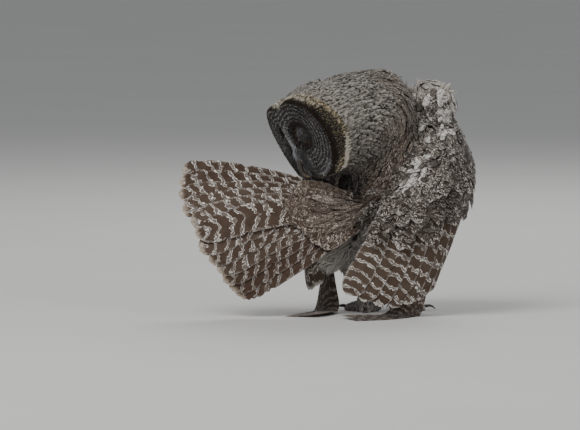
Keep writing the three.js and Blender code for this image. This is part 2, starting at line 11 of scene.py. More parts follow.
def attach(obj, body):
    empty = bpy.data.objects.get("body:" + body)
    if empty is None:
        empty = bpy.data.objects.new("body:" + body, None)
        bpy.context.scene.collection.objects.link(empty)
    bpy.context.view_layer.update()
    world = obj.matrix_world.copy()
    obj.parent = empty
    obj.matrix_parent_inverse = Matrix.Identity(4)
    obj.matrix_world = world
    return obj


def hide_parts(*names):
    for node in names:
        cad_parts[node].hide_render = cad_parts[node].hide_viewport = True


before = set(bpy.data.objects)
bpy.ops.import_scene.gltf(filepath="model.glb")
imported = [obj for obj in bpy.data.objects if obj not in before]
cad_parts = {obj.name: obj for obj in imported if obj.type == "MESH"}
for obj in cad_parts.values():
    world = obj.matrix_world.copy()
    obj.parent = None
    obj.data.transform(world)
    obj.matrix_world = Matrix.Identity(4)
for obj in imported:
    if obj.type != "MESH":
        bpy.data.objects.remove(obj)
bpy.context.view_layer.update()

MM = 1000.0  # millimetres in a metre
random = np.random.default_rng(11)

# Where the frame's own middle puts the owl's origin
OWL_ORIGIN = np.array([80.7349, 34.9735, 0.0])

# The head, its disc and what sits in it
HEAD_CENTRE = np.array([-91, -50, 303.0])
HEAD_UP = 77
HEAD_SIDE = 88
FACE_TURN = 61.6
FACE_DROP = 26.5
FACE_LEAN = 13.9
FACE_FRONT = 62
DISC_END = 61
DISC_SIDE = 97
DISC_NOTCH = 4
DISC_SET_BACK = 15
HEAD_REACH = 116.0
EYE_SIDE = 27
EYE_UP = 9
EYE_R = 10
EYE_GAP = 1.05  # of the eye's radius, left free of the disc's feathers
EYE_FORWARD = 46.6
NECK_END = np.array([30, 12, 315.0])
NECK_R = (76, 85)

# Wings, tail and legs
TAIL_ROOT = np.array([-14, -62, 172.0])
RECTRICES = 12
SECONDARIES = 13
PRIMARIES = 7
VANE = 0.7  # a vane's thickness
STACK_GAP = 0.15
SHARP = 50.0  # degrees between faces, past which a vane's edge isn't shaded as round
LAID = (PRIMARIES - 1) * (VANE + STACK_GAP) + VANE / 2
LEG_X = (-20, 38)
LEG_Y = 14
TOES = (("inner", -24, 40, 25), ("middle", 4, 47, 27), ("outer", 62, 38, 22), ("back", 172, 28, 23))

# The skin under the coat: its voxels, smoothing, unwrapping, and its depth below the solids' surface
SKIN_VOXEL = 3.0
SWELL = 1.2  # of a solid's own surface, so that neighbours join
SKIN_ROUNDS = 14
SEAM_ANGLE = 70
ISLAND_GAP = 0.002
FACE_EDGE = 1.06  # of the disc's radius, where the face's own skin ends
FACE_EASE = 0.12  # of the smoothing that the rest of the skin has
COAT_DEPTH = 4.0
HEAD_DEPTH = 0.8
FACE_DEPTH = 1.2
FOOT_DEPTH = 1.0
DEPTH_ROUNDS = 6
HEAD_TO_BODY = (100, 140)  # from the head's centre
FOOT_TO_BODY = (15, 60)  # above the floor

# The coat's fineness, and what keeps it off the floor
ABOVE_FLOOR = 0.1
VANE_ABOVE_FLOOR = 0.15
FINE_MOST = 4000  # small feathers of one mesh, which keeps it under 200,000 triangles
WIDE_MOST = 2600
ROOT_SPACING = 0.6  # of a feather's width
ROOT_TRIES = 2.2  # roots tried for each one's share of the skin
ROOT_GAP = 0.8  # of the spacing, inside which a second root is dropped
DISC_SPACING = 1.9
DISC_TWIST = 0.12
WHISKER_SPACING = 1.7
LID_SPACING = 1.25
TWIST = 0.17  # how far feathers stray from the lie of the coat, and how far they roll
ROLL = 0.09
LIFTS = {"fine": 0.15, "downy": 0.24, "plain": 0.12}  # of a feather's tip, as shares of its length
RING_GAP = 7.0  # between the disc's rings
RING_WOBBLE = 4.0

# Lids, in degrees round the eye: the slit's place, its curve, half its gap and half its length, and how far
# up and down the lids reach. Then their thickness, the roll at their edge, and the room over the eyeball
LID_SLIT = -12.0
LID_CURVE = 16.0
LID_GAP = 1.5
LID_SPAN = 82
LID_REACH = 80
LID_THICK = 1.6
LID_ROLL = 0.7
LID_ROOM = 0.4

# View: the picture is 580 x 430, with the floor line and a known column at these pixels
PICTURE_W = 580
MM_PER_PIXEL = 1.62
CENTRE_PIXEL = (290, 215)
ORIGIN_PIXEL = (380, 312)
CAMERA_RISE = 4.0
CAMERA_FAR = 12.0
SENSOR = 36.0
CLIP_FAR = 120.0
BEFORE = 600.0  # from the owl's middle back to where sight lines start

# Floor and lights, in metres: name, place, size and watts
FLOOR = 40.0
LIGHT_AIM = (0, 0, 0.2)
LIGHTS = (
    ("key", (-1.6, -2.0, 3.2), 2.4, 100),
    ("fill", (2.6, -2.4, 1.4), 2.6, 24),
    ("back", (0.6, 2.6, 2.6), 2.0, 45),
)
SKY = (0.75, 0.77, 0.80)
SKY_POWER = 0.45

# The ridge of scapulars from the hump down, as pixels, and its rows: pixels aside and chance of white
RIDGE = ((452, 96), (447, 106), (441, 118), (440, 140), (427, 168), (410, 191), (387, 219), (364, 246))
RIDGE_STEPS = 44
RIDGE_PATCHES = 23.0
RIDGE_SPREAD = 2.0
RIDGE_ROWS = ((-14, 0.0), (-8, 0.2), (-3, 0.7), (2, 0.95), (7, 0.65), (12, 0.2), (17, 0.0))

# Loose tufts: name, pixel, count, length, width, look, paleness and lean
TUFT_R = 13.0
TUFTS = (
    ("tuft_front", (318, 84), 12, 13.0, 4.5, "head", 0.4, (-0.5, 0, 0.8)),
    ("tuft_crown", (388, 76), 12, 11.0, 5.5, "head", 0.4, (0.2, 0, 1.0)),
    ("tuft_nape", (412, 92), 14, 13.0, 7.0, "covert", 0.6, (0.1, 0, 1.0)),
    ("tuft_hump", (446, 92), 12, 14.0, 7.0, "covert", 0.8, (0.8, 0, 0.5)),
)


# Vectors and curves

def unit(v):
    v = np.asarray(v, float)
    return v / np.maximum(np.linalg.norm(v, axis=-1, keepdims=True), 1e-9)


def dot(a, b):
    return np.sum(a * b, axis=-1, keepdims=True)


def smooth(a, b, x):
    t = np.clip((x - a) / (b - a), 0, 1)
    return t * t * (3 - 2 * t)


def mix(a, b, t):
    return a + (b - a) * t


def laid(way, normal):
    """A way turned down to run along a surface."""
    return unit(way - normal * dot(way, normal))


def turned(v, axis, angle):
    axis = unit(axis)
    c, s = np.cos(angle), np.sin(angle)
    return v * c + np.cross(axis, v) * s + axis * dot(axis, v) * (1 - c)


def through(knots, t, even=False):
    """Points at t, 0 to 1, on curves through knots (R, N, 3). Past its ends a curve runs straight on."""
    p = np.concatenate([[2 * knots[0] - knots[1]], knots, [2 * knots[-1] - knots[-2]]])
    spans = len(p) - 3
    inside = np.clip(t, 0, 1)
    i = np.minimum((inside * spans).astype(int), spans - 1)
    w = (inside * spans - i)[:, None]
    n = np.arange(len(t))
    a, b, c, d = p[i, n], p[i + 1, n], p[i + 2, n], p[i + 3, n]
    power = 0 if even else 0.5
    ab, bc, cd = (
        np.maximum(np.linalg.norm(q - r, axis=1, keepdims=True), 1e-6) ** power
        for q, r in ((b, a), (c, b), (d, c))
    )
    leave = ((b - a) / ab - (c - a) / (ab + bc) + (c - b) / bc) * bc
    reach = ((c - b) / bc - (d - b) / (bc + cd) + (d - c) / cd) * bc
    w2, w3 = w * w, w * w * w
    point = (2 * w3 - 3 * w2 + 1) * b + (w3 - 2 * w2 + w) * leave
    point += (3 * w2 - 2 * w3) * c + (w3 - w2) * reach
    pace = (6 * w2 - 6 * w) * (b - c) + (3 * w2 - 4 * w + 1) * leave + (3 * w2 - 2 * w) * reach
    return point + pace * spans * (t - inside)[:, None]


def spline(points, t):
    t = np.atleast_1d(np.asarray(t, float))
    p = np.asarray(points, float)
    return through(np.broadcast_to(p[:, None, :], (len(p), len(t), 3)), t)


class Sheet:
    """A surface from a curve of roots to a curve of tips: u runs along the row, t from root to tip."""

    def __init__(self, ribs, face):
        self.ribs = ribs
        self.face = np.array(face, float)

    def flat(self, u, t):
        return through(np.stack([spline(rib, u) for rib in self.ribs]), t, even=True)

    def frame(self, u, t, step=0.01):
        run = (self.flat(u, t + step) - self.flat(u, t - step)) / (2 * step)
        spread = (self.flat(u + step, t) - self.flat(u - step, t)) / (2 * step)
        pace = np.linalg.norm(run, axis=1)
        along = unit(run)
        slant = dot(spread, along)[:, 0]
        across = spread - along * slant[:, None]
        size = np.linalg.norm(across, axis=1)
        across = unit(across)
        normal = np.cross(across, along)
        normal *= np.where(dot(normal, self.face) < 0, -1, 1)
        return along, across, normal, size, slant, pace

    def at(self, u, t, lift):
        return self.flat(u, t) + self.frame(u, t)[2] * lift[:, None]


# The head's own axes: forward out of the face, left, and up to the crown
_turn, _drop = math.radians(FACE_TURN), math.radians(FACE_DROP)
FORWARD = np.array([
    -math.cos(_drop) * math.sin(_turn),
    -math.cos(_drop) * math.cos(_turn),
    -math.sin(_drop),
])
LEFT = turned(unit(np.cross([0, 0, 1], FORWARD)), FORWARD, math.radians(FACE_LEAN))
UP = np.cross(FORWARD, LEFT)


def head_point(left, up, forward):
    left, up, forward = (np.asarray(a, float)[..., None] for a in (left, up, forward))
    return HEAD_CENTRE + left * LEFT + up * UP + forward * FORWARD


def head_place(points):
    """A point as its distances left, up and forward of the head's centre."""
    away = points - HEAD_CENTRE
    return away @ LEFT, away @ UP, away @ FORWARD


def rim_radius(angle):
    side = np.abs(np.sin(angle))
    return mix(DISC_END, DISC_SIDE, side**1.2) - DISC_NOTCH * np.exp(-((side / 0.42) ** 2))


def rim_forward(angle):
    return FACE_FRONT - 6 - DISC_SET_BACK * np.abs(np.sin(angle)) ** 2.2


def face_forward(left, up):
    angle = np.arctan2(left, up)
    share = np.minimum(np.hypot(left, up) / rim_radius(angle), 1)
    side = np.abs(left)
    dish = 7 * np.exp(-(((side - 36) / 28) ** 2) - (up / 34) ** 2)
    ridge = 6 * np.exp(-((left / 9) ** 2)) * smooth(-62, -20, up)
    socket = 5 * np.exp(-(((side - EYE_SIDE) / 12) ** 2) - ((up - EYE_UP) / 12) ** 2)
    edge = 2.5 * np.exp(-(((share - 1) / 0.07) ** 2))
    front = mix(FACE_FRONT, rim_forward(angle), share**1.7)
    return front + ridge + edge - (dish + socket) * (1 - share**5)


def eye_centre(side):
    return head_point(side * EYE_SIDE, EYE_UP, EYE_FORWARD)


def to_world(points):
    return (points + OWL_ORIGIN) / MM


# Meshes

def place_object(name, data):
    piece = bpy.data.objects.new(name, data)
    bpy.context.scene.collection.objects.link(piece)
    return piece


def read(items, key, kind=np.float32, width=1):
    """One value of every vertex, edge, loop or face of a mesh, as an array."""
    out = np.zeros(len(items) * width, kind)
    items.foreach_get(key, out)
    return out.reshape(-1, width) if width > 1 else out


def set_mark(mesh, mark):
    layer = mesh.attributes.new("mark", "FLOAT_COLOR", "POINT")
    layer.data.foreach_set("color", mark.astype(np.float32).ravel())


def build_mesh(name, points, faces, uvs=None, mark=None):
    """A mesh object from points in the owl's frame and faces of four corners each."""
    mesh = bpy.data.meshes.new(name)
    faces = np.asarray(faces, np.int32)
    mesh.vertices.add(len(points))
    mesh.vertices.foreach_set("co", to_world(points).astype(np.float32).ravel())
    mesh.loops.add(faces.size)
    mesh.loops.foreach_set("vertex_index", faces.ravel())
    mesh.polygons.add(len(faces))
    mesh.polygons.foreach_set("loop_start", np.arange(0, faces.size, 4, dtype=np.int32))
    mesh.polygons.foreach_set("use_smooth", np.ones(len(faces), bool))
    for key, uv in (uvs or {}).items():
        layer = mesh.uv_layers.new(name=key)
        layer.data.foreach_set("uv", uv[faces.ravel()].astype(np.float32).ravel())
    if mark is not None:
        set_mark(mesh, mark)
    mesh.update(calc_edges=True)
    mesh.validate()
    return place_object(name, mesh)


def dress(piece, material):
    piece.data.materials.clear()
    piece.data.materials.append(material)
    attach(piece, "root")
    return piece


def ring_faces(rings, sides):
    """Four-cornered faces between the rings of a tube, whose ends stay open."""
    i, j = np.meshgrid(np.arange(rings - 1), np.arange(sides), indexing="ij")
    a, b = i * sides + j, i * sides + (j + 1) % sides
    return np.stack([a, b, b + sides, a + sides], -1).reshape(-1, 4)


END_RINGS = (0.02, 0.5)  # of the width of a loft's end, which they close down to a pinhole


def loft(rings):
    """Points and faces through rings of equal count, with END_RINGS added at both ends."""
    rings = np.asarray(rings, float)
    first, last = rings[0].mean(0), rings[-1].mean(0)
    start = [mix(first, rings[0], s) for s in END_RINGS]
    end = [mix(last, rings[-1], s) for s in reversed(END_RINGS)]
    whole = np.concatenate([start, rings, end])
    return whole.reshape(-1, 3), ring_faces(len(whole), rings.shape[1])


def limb(points, radius, sides=24, steps=20, up=(0, 0, 1), flat=1.0):
    t = np.linspace(0, 1, steps + 1)
    middle = spline(points, t)
    along = unit(np.gradient(middle, axis=0))
    across = unit(np.cross(np.array(up, float), along))
    over = np.cross(along, across)
    r = np.array([radius(s) for s in t])[:, None, None]
    a = np.linspace(0, 2 * np.pi, sides, endpoint=False)[None, :, None]
    ring = np.cos(a) * across[:, None] + flat * np.sin(a) * over[:, None]
    return loft(middle[:, None] + r * ring)


# Feathers on sheets. Each shape gives half its width at shares of its length, and COLUMNS lie across it

BROAD = ((0, 0.3), (0.28, 0.7), (0.5, 0.92), (0.7, 1), (0.87, 0.96), (0.94, 0.82), (0.98, 0.55), (1, 0.12))
SHORT = ((0, 0.45), (0.4, 0.95), (0.7, 1), (0.86, 0.86), (0.95, 0.55), (1, 0.1))
LONG = ((0, 0.3), (0.25, 0.85), (0.42, 1), (0.62, 1), (0.8, 0.94), (0.94, 0.6), (1, 0.12))
COLUMNS = np.array([-1, -0.84, -0.6, -0.32, -0.07, 0, 0.07, 0.32, 0.6, 0.84, 1])
RACHIS = 0.55  # how far the shaft stands up


def outline(shape, share):
    return np.interp(share, *zip(*shape))


class Row:
    """Vanes as grids: points and normals (feathers, stations, columns, 3), and distance from the tip."""

    def __init__(self, points, normals, shares, thick, tone, density=None):
        count = len(points)
        u = np.linspace(0, 1, count)
        self.points, self.normals = points, normals
        self.length = np.linalg.norm(np.diff(points[:, :, len(COLUMNS) // 2], axis=1), axis=-1).sum(1)
        pace = density(u)[:, None] if density else 1.0
        self.from_tip = self.length[:, None] * (1 - shares[None]) * pace
        self.thick = thick
        self.tone = tone(u) if callable(tone) else np.tile(tone, (count, 1))
        self.seeds = random.random(count)


def vane_row(
    sheet, count, half, start, end, shape=BROAD, lift=0.0, pitch=1.8, top=None, dive=0.0, flare=0.0,
    vary=0.03, camber=0.5, stations=26, split=0.12, fray=2.0, jitter=0.0,
    tone=(0.16, 0.08, 1.0), density=None,
):
    """A row of overlapping vanes laid along a sheet, each tilted just enough to clear the next."""
    top = count - 1 if top is None else top
    u = np.arange(count) / (count - 1)
    shares = 1 - (1 - np.linspace(0, 1, stations)) ** 1.35
    widths = outline(shape, shares)
    reach = 1 - vary * random.random(count)
    starts = np.full(count, start) if np.isscalar(start) else start(u)
    ends = np.full(count, end) if np.isscalar(end) else end(u)
    halves = np.full(count, half) if np.isscalar(half) else half(u)
    t = starts[:, None] + (ends - starts)[:, None] * reach[:, None] * shares[None]
    astray = random.normal(0, jitter / (count - 1), (count, 1)) * shares[None]
    grid_u = u[:, None] + astray
    size, slant, pace = (a.reshape(t.shape) for a in sheet.frame(grid_u.ravel(), t.ravel())[3:])
    spacing = size / (count - 1)
    # Barbs that have come apart leave notches in the edges
    ragged = np.ones((count, stations, len(COLUMNS)))
    for side in (0, -1):
        notch = random.random((count, stations)) < split * smooth(0.3, 0.9, shares)[None]
        ragged[:, :, side] -= notch * random.uniform(0.08, 0.2, (count, stations))
    wide = (halves[:, None] * widths[None])[..., None] * COLUMNS * ragged
    slope = np.minimum(0.32, pitch / spacing)[..., None]
    side = np.sign(top - np.arange(count))[:, None, None]
    widest = np.maximum.accumulate(widths)
    spare = np.maximum(0, halves[:, None] * widest[None] - spacing)[..., None] * slope
    over = np.where(side == 0, pitch + spare, np.where(side < 0, -(pitch + 2 * spare), 0))
    stand = lift - dive * (1 - shares) ** 2 + flare * shares**3
    height = stand[None, :, None] + over - side * slope * wide - camber * COLUMNS**2
    du = wide / size[..., None]
    dt = -slant[..., None] * du / pace[..., None]
    frayed = random.normal(0, fray, (count, 1, len(COLUMNS))) * smooth(0.86, 1, shares)[None, :, None]
    dt = dt - np.abs(frayed) / pace[..., None]
    uu, tt = grid_u[..., None] + du, t[..., None] + dt
    frames = sheet.frame(uu.ravel(), tt.ravel())
    normals = frames[2].reshape(uu.shape + (3,))
    points = sheet.flat(uu.ravel(), tt.ravel()).reshape(uu.shape + (3,)) + normals * height[..., None]
    return Row(points, normals, shares, VANE, tone, density)


def stack_row(sheet, count, half, shape=LONG, stations=30):
    """A folded hand: vanes laid flat over one another, the last one on the sheet itself."""
    shares = 1 - (1 - np.linspace(0, 1, stations)) ** 1.2
    middle_u = np.full(stations, 0.5)
    across, normal = sheet.frame(middle_u, shares)[1:3]
    spine = sheet.flat(middle_u, shares)
    reach = across[:, None] * (half * outline(shape, shares))[:, None, None] * COLUMNS[None, :, None]
    points = []
    for k in range(count):
        aside = dot(sheet.flat(np.full(stations, k / (count - 1)), shares) - spine, across)
        under = (count - 1 - k) * (VANE + STACK_GAP)
        middle = spine + across * aside - normal * under
        points.append(middle[:, None] + reach)
    points = np.array(points)
    normals = np.broadcast_to(normal[None, :, None], points.shape)
    return Row(points, normals, shares, VANE * 0.8, tone=(0.05, 0.08, 0.7))


def edge_faces(line, step, back):
    """Faces that join a line of points on the upper side to the same line on the lower one."""
    return np.stack([line, line + step, line + step + back, line + back], -1)


def vane_piece(name, rows):
    """One mesh of closed vanes from rows."""
    total = sum(len(r.points) for r in rows)
    points, faces, vane_uv, bake_uv, marks = [], [], [], [], []
    used = strip = 0
    for r in rows:
        count, stations, columns = r.points.shape[:3]
        taper = (1 - 0.7 * np.linspace(0, 1, stations))[None, :, None]
        rachis = np.where(np.abs(COLUMNS) < 0.05, RACHIS, 0)[None, None] * taper
        edge = mix(1, 0.6, np.abs(COLUMNS))[None, None]
        upper = r.points + r.normals * (r.thick / 2 * edge + rachis)[..., None]
        lower = r.points - r.normals * (r.thick / 2 * edge)[..., None]
        both = np.stack([upper, lower], 1)
        both[..., 2] = np.maximum(both[..., 2], VANE_ABOVE_FLOOR)
        x = np.broadcast_to(COLUMNS, (count, 2, stations, columns))
        d = np.broadcast_to(r.from_tip[:, None, :, None], x.shape)
        vane_uv.append(np.stack([x, d], -1).reshape(-1, 2))
        across = (strip + np.arange(count)[:, None, None, None] + 0.5 + 0.45 * x) / total
        down = np.broadcast_to(np.linspace(0.01, 0.99, stations)[None, None, :, None], x.shape)
        bake_uv.append(np.stack([across, down], -1).reshape(-1, 2))
        mark = np.concatenate([r.tone, r.seeds[:, None]], 1)
        marks.append(np.repeat(mark, 2 * stations * columns, 0))
        i, j = np.meshgrid(np.arange(stations - 1), np.arange(columns - 1), indexing="ij")
        a = (i * columns + j).ravel()
        sheet_faces = np.stack([a, a + 1, a + 1 + columns, a + columns], -1)
        back = stations * columns
        left = np.arange(stations - 1) * columns
        right = left + columns - 1
        root = np.arange(columns - 1)
        tip = root + (stations - 1) * columns
        one = np.concatenate([
            sheet_faces[:, ::-1],
            sheet_faces + back,
            edge_faces(left, columns, back)[:, ::-1],
            edge_faces(right, columns, back),
            edge_faces(root, 1, back),
            edge_faces(tip, 1, back)[:, ::-1],
        ])
        faces.append((used + np.arange(count)[:, None, None] * 2 * back + one[None]).reshape(-1, 4))
        points.append(both.reshape(-1, 3))
        used += count * 2 * back
        strip += count
    uvs = {"OFBake": np.concatenate(bake_uv), "Vane": np.concatenate(vane_uv)}
    piece = build_mesh(name, np.concatenate(points), np.concatenate(faces), uvs, np.concatenate(marks))
    piece.data.set_sharp_from_angle(angle=math.radians(SHARP))
    return piece


# The tail fan, the folded wings and the hands laid on the floor

_x, _y, _z = TAIL_ROOT
FAN = Sheet(
    [
        [[_x - 8, _y + 2, _z + 14], [_x - 6, _y - 4, _z - 1], [_x - 4, _y - 8, _z - 20]],
        [[_x - 158, _y, _z + 42], [_x - 154, _y - 8, _z - 8], [_x - 112, _y - 24, _z - 74]],
        [
            [-318, -42, 234], [-322, -58, 200], [-312, -74, 157], [-294, -88, 121],
            [-272, -100, 85], [-250, -106, 54], [-230, -108, 37],
        ],
    ],
    [0, -1, 0.3],
)
VENT = Sheet(
    [
        [[_x + 2, _y + 22, _z + 4], [_x + 6, _y + 28, _z - 24], [_x + 12, _y + 30, _z - 52]],
        [[_x - 70, _y + 24, _z + 2], [_x - 62, _y + 20, _z - 44], [_x - 30, _y + 22, _z - 84]],
        [
            [_x - 134, _y + 22, _z - 8], [_x - 138, _y + 8, _z - 60],
            [_x - 112, _y + 6, _z - 104], [_x - 74, _y + 16, _z - 128],
        ],
    ],
    [0, 1, -0.3],
)
FOLD_RIGHT = Sheet(
    [
        [[104, 36, 300], [112, 2, 318], [108, -38, 300], [88, -66, 262], [52, -82, 226], [20, -88, 198]],
        [
            [128, 24, 226], [140, -18, 214], [130, -64, 176],
            [98, -96, 144], [48, -112, 128], [-6, -113, 124],
        ],
        [
            [108, 2, 146], [99, -34, 114], [93, -66, 78], [84, -88, 46],
            [60, -104, 25], [26, -115, 15], [-14, -120, 18], [-54, -118, 34],
        ],
    ],
    [0.5, -1, 0],
)
FOLD_LEFT = Sheet(
    [
        [[-46, 92, 272], [-74, 68, 258], [-88, 34, 242], [-90, 4, 224], [-80, -22, 206]],
        [[-78, 98, 178], [-108, 68, 158], [-122, 34, 142], [-122, 2, 132], [-106, -24, 128]],
        [[-76, 78, 92], [-100, 58, 66], [-116, 30, 46], [-118, 4, 36], [-110, -20, 36], [-94, -36, 46]],
    ],
    [-1, 0, 0],
)
HAND_RIGHT = Sheet(
    [
        [[104, -44, 232], [94, -54, 222], [84, -62, 212]],
        [[84, -60, 120], [74, -66, 114], [64, -72, 108]],
        [[62, -70, 36], [52, -74, 34], [42, -78, 32]],
        [[44, -92, LAID], [34, -93, LAID], [24, -94, LAID]],
        [[8, -140, LAID], [-4, -132, LAID], [-16, -124, LAID]],
        [[-34, -176, LAID], [-50, -164, LAID], [-52, -146, LAID], [-42, -126, LAID]],
    ],
    [0, -1, 0.5],
)
HAND_LEFT = Sheet(
    [
        [[-84, 50, 226], [-83, 39, 216], [-82, 28, 206]],
        [[-92, 40, 120], [-88, 30, 114], [-84, 20, 108]],
        [[-94, 28, 36], [-87, 18, 34], [-80, 8, 32]],
        [[-100, 0, LAID], [-91, -9, LAID], [-82, -18, LAID]],
        [[-118, -46, LAID], [-105, -54, LAID], [-92, -62, LAID]],
        [[-150, -92, LAID], [-132, -104, LAID], [-112, -104, LAID], [-98, -86, LAID]],
    ],
    [-1, 0, 0.5],
)
WRIST = [[46, 6, 352], [84, -6, 345], [117, -4, 320]]
WRIST_R = 35
SHOULDER = [[86, -6, 330], [94, -6, 300], [106, -10, 262]]
FLANK = [[-8, -16, 140], [-48, -32, 108], [-92, -40, 76]]
SCAPULAR = [[84, -34, 300], [72, -52, 258], [46, -66, 212], [16, -76, 172]]


# The skin: one body under the whole coat

def head_loft(sides=128):
    a = np.linspace(0, 2 * np.pi, sides, endpoint=False)
    rings = []
    for share in np.linspace(0.03, 0.98, 24):
        r = rim_radius(a) * share
        left, up = r * np.sin(a), r * np.cos(a)
        rings.append(head_point(left, up, face_forward(left, up)))
    r = rim_radius(a) + 4
    rings.append(head_point(r * np.sin(a), r * np.cos(a), rim_forward(a) + 1))
    width = ((0, 1), (0.3, 1), (0.5, 0.98), (0.68, 0.87), (0.85, 0.64), (0.96, 0.34), (1, 0.1))
    for t in np.linspace(0.06, 0.99, 22):
        full = np.hypot(HEAD_SIDE * np.sin(a), HEAD_UP * np.cos(a))
        r = mix(rim_radius(a) + 6, full, smooth(0, 0.45, t)) * outline(width, t)
        rings.append(head_point(r * np.sin(a), r * np.cos(a), mix(rim_forward(a), -70, t)))
    return loft(rings)


def neck_loft():
    start = HEAD_CENTRE - 4 * FORWARD - 2 * UP
    middle = mix(start, NECK_END, 0.5) + [0, 0, 2]

    def radius(t):
        swell = min(1, math.sin(math.pi * mix(0.22, 0.8, t)) * 1.25) ** 0.8
        return mix(NECK_R[0], NECK_R[1], t) * swell

    return limb([start, middle, NECK_END], radius, sides=48, steps=16)


def cushion(sheet, rise, depth, ends=(-0.03, 1.02), reach=0.42):
    """The soft mass under a row of vanes: thickest in its middle, thin at its edges."""
    rings = []
    st = np.linspace(0, 1, 12)
    for su in np.linspace(0, 1, 28):
        end = math.sin(math.pi * mix(0.1, 0.9, su)) ** 0.5
        swell = np.sin(np.pi * mix(0.06, 0.94, st**0.8)) * end
        u = np.full(len(st), mix(ends[0], ends[1], su))
        over = sheet.at(u, st * reach, rise * swell)
        under = sheet.at(u, st * reach, -depth * swell)
        rings.append(np.concatenate([over, under[::-1]]))
    return loft(rings)


def from_node(name):
    """A CAD node's surface in the owl's frame, a little swollen so that neighbours join."""
    bm = bmesh.new()
    bm.from_mesh(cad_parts[name].data)
    bmesh.ops.remove_doubles(bm, verts=bm.verts, dist=1e-5)
    bmesh.ops.recalc_face_normals(bm, faces=bm.faces)
    bm.normal_update()
    points = np.array([v.co + v.normal * (SWELL / MM) for v in bm.verts]) * MM - OWL_ORIGIN
    faces = [[v.index for v in f.verts] for f in bm.faces]
    bm.free()
    return points, faces


def make_skin():
    stump = [TAIL_ROOT + d for d in ([14, 20, 2], [-8, 2, -2], [-44, -3, -8], [-84, -6, -14])]
    parts = [
        head_loft(),
        neck_loft(),
        cushion(FOLD_RIGHT, 15, 20),
        cushion(FOLD_LEFT, 12, 22, (-0.04, 1.02)),
        limb(WRIST, lambda t: WRIST_R * math.sin(math.pi * mix(0.16, 0.84, t)), steps=14),
        limb(stump, lambda t: mix(27, 6, t**0.9), up=(0, -1, 0.3), flat=0.75),
        cushion(FAN, 11, 12, (0.03, 0.97), 0.4),
        cushion(VENT, 7, 7, (0.03, 0.97), 0.86),
        limb(SHOULDER, lambda t: mix(29, 20, t), up=(1, 0, 0), steps=14),
        limb(SCAPULAR, lambda t: mix(20, 12, t), up=(1, 0, 0), steps=20),
        limb(FLANK, lambda t: mix(30, 11, t), steps=14),
    ]
    for name in ("torso", "leg_left", "leg_right", "foot_left", "foot_right"):
        parts.append(from_node(name))
    points, faces, used = [], [], 0
    for p, f in parts:
        points.append(p)
        faces += [[int(i) + used for i in corner] for corner in f]
        used += len(p)
    mesh = bpy.data.meshes.new("skin_form")
    mesh.from_pydata(to_world(np.concatenate(points)).tolist(), [], faces)
    form = place_object("skin_form", mesh)
    remesh = form.modifiers.new("One skin", "REMESH")
    remesh.mode = "VOXEL"
    remesh.voxel_size = SKIN_VOXEL / MM
    graph = bpy.context.evaluated_depsgraph_get()
    graph.update()
    skin_mesh = bpy.data.meshes.new_from_object(form.evaluated_get(graph))
    bpy.data.objects.remove(form)
    return skin_mesh


def read_mesh(mesh):
    points = read(mesh.vertices, "co", width=3) * MM - OWL_ORIGIN
    return points, read(mesh.edges, "vertices", np.int32, 2)


def relax(points, edges, amount, rounds):
    """Smooths a surface, by each point's own amount from 0 to 1."""
    near = np.bincount(edges.ravel(), minlength=len(points))[:, None]
    for _ in range(rounds):
        total = np.zeros_like(points)
        np.add.at(total, edges[:, 0], points[edges[:, 1]])
        np.add.at(total, edges[:, 1], points[edges[:, 0]])
        points = mix(points, total / np.maximum(near, 1), 0.6 * amount[:, None])
    return points


def face_share(points):
    """How far out on the facial disc a point lies, from 0 to 1 at the rim, or more behind it."""
    left, up, forward = head_place(points)
    share = np.hypot(left, up) / rim_radius(np.arctan2(left, up))
    behind = rim_forward(np.arctan2(left, up)) - 9 - forward
    return np.where(behind > 0, 1.0 + behind / 60, share)


# Lie of the coat: group, place, the way its feathers point, their length and width, and how pale, warm
# and barred they are. Between these places the coat changes evenly. The head's places and ways are left,
# up and forward of its centre.
HEAD_LIE = [
    ("crown", (0, 62, 46), (0, 0.3, -1), 9, 4.6, 0.50, 0.16, 0.9),
    ("crown", (45, 66, 35), (0.2, 0.2, -1), 9, 4.6, 0.50, 0.16, 0.9),
    ("crown", (-45, 66, 35), (-0.2, 0.2, -1), 9, 4.6, 0.50, 0.16, 0.9),
    ("crown", (0, 78, 5), (0, 0, -1), 12, 5.4, 0.20, 0.10, 0.9),
    ("crown", (34, 76, 0), (0, 0, -1), 12, 5.4, 0.50, 0.06, 0.9),
    ("crown", (0, 62, -55), (0, -0.6, -1), 14, 6.4, 0.24, 0.10, 0.9),
    ("cheek_left", (96, 15, 34), (0, 0.1, -1), 9, 4.6, 0.52, 0.20, 0.9),
    ("cheek_left", (88, 5, 0), (0, 0, -1), 12, 5.6, 0.58, 0.04, 0.9),
    ("cheek_left", (72, 0, -42), (-0.2, -0.3, -1), 15, 6.6, 0.44, 0.06, 0.9),
    ("cheek_left", (74, -52, 18), (0, -0.2, -1), 12, 5.4, 0.28, 0.10, 0.6),
    ("cheek_left", (60, -62, -20), (0, -0.4, -1), 16, 7, 0.34, 0.06, 0.6),
    ("cheek_right", (-96, 15, 34), (0, 0.1, -1), 9, 4.6, 0.52, 0.20, 0.9),
    ("cheek_right", (-88, 5, 0), (0, 0, -1), 12, 5.6, 0.58, 0.04, 0.9),
    ("cheek_right", (-72, 0, -42), (0.2, -0.3, -1), 15, 6.6, 0.44, 0.06, 0.9),
    ("cheek_right", (-70, -52, 5), (0, -0.4, -1), 14, 6, 0.34, 0.06, 0.7),
    # The throat under the disc is dark partly from its own black chin feathers and partly as painted shade
    # under the head.
    ("throat", (0, -66, 30), (0, -1, -0.4), 12, 5.4, 0.00, 0.00, 0.1),
    ("throat", (0, -82, -15), (0, -0.7, -0.7), 18, 8, 0.06, 0.04, 0.3),
]
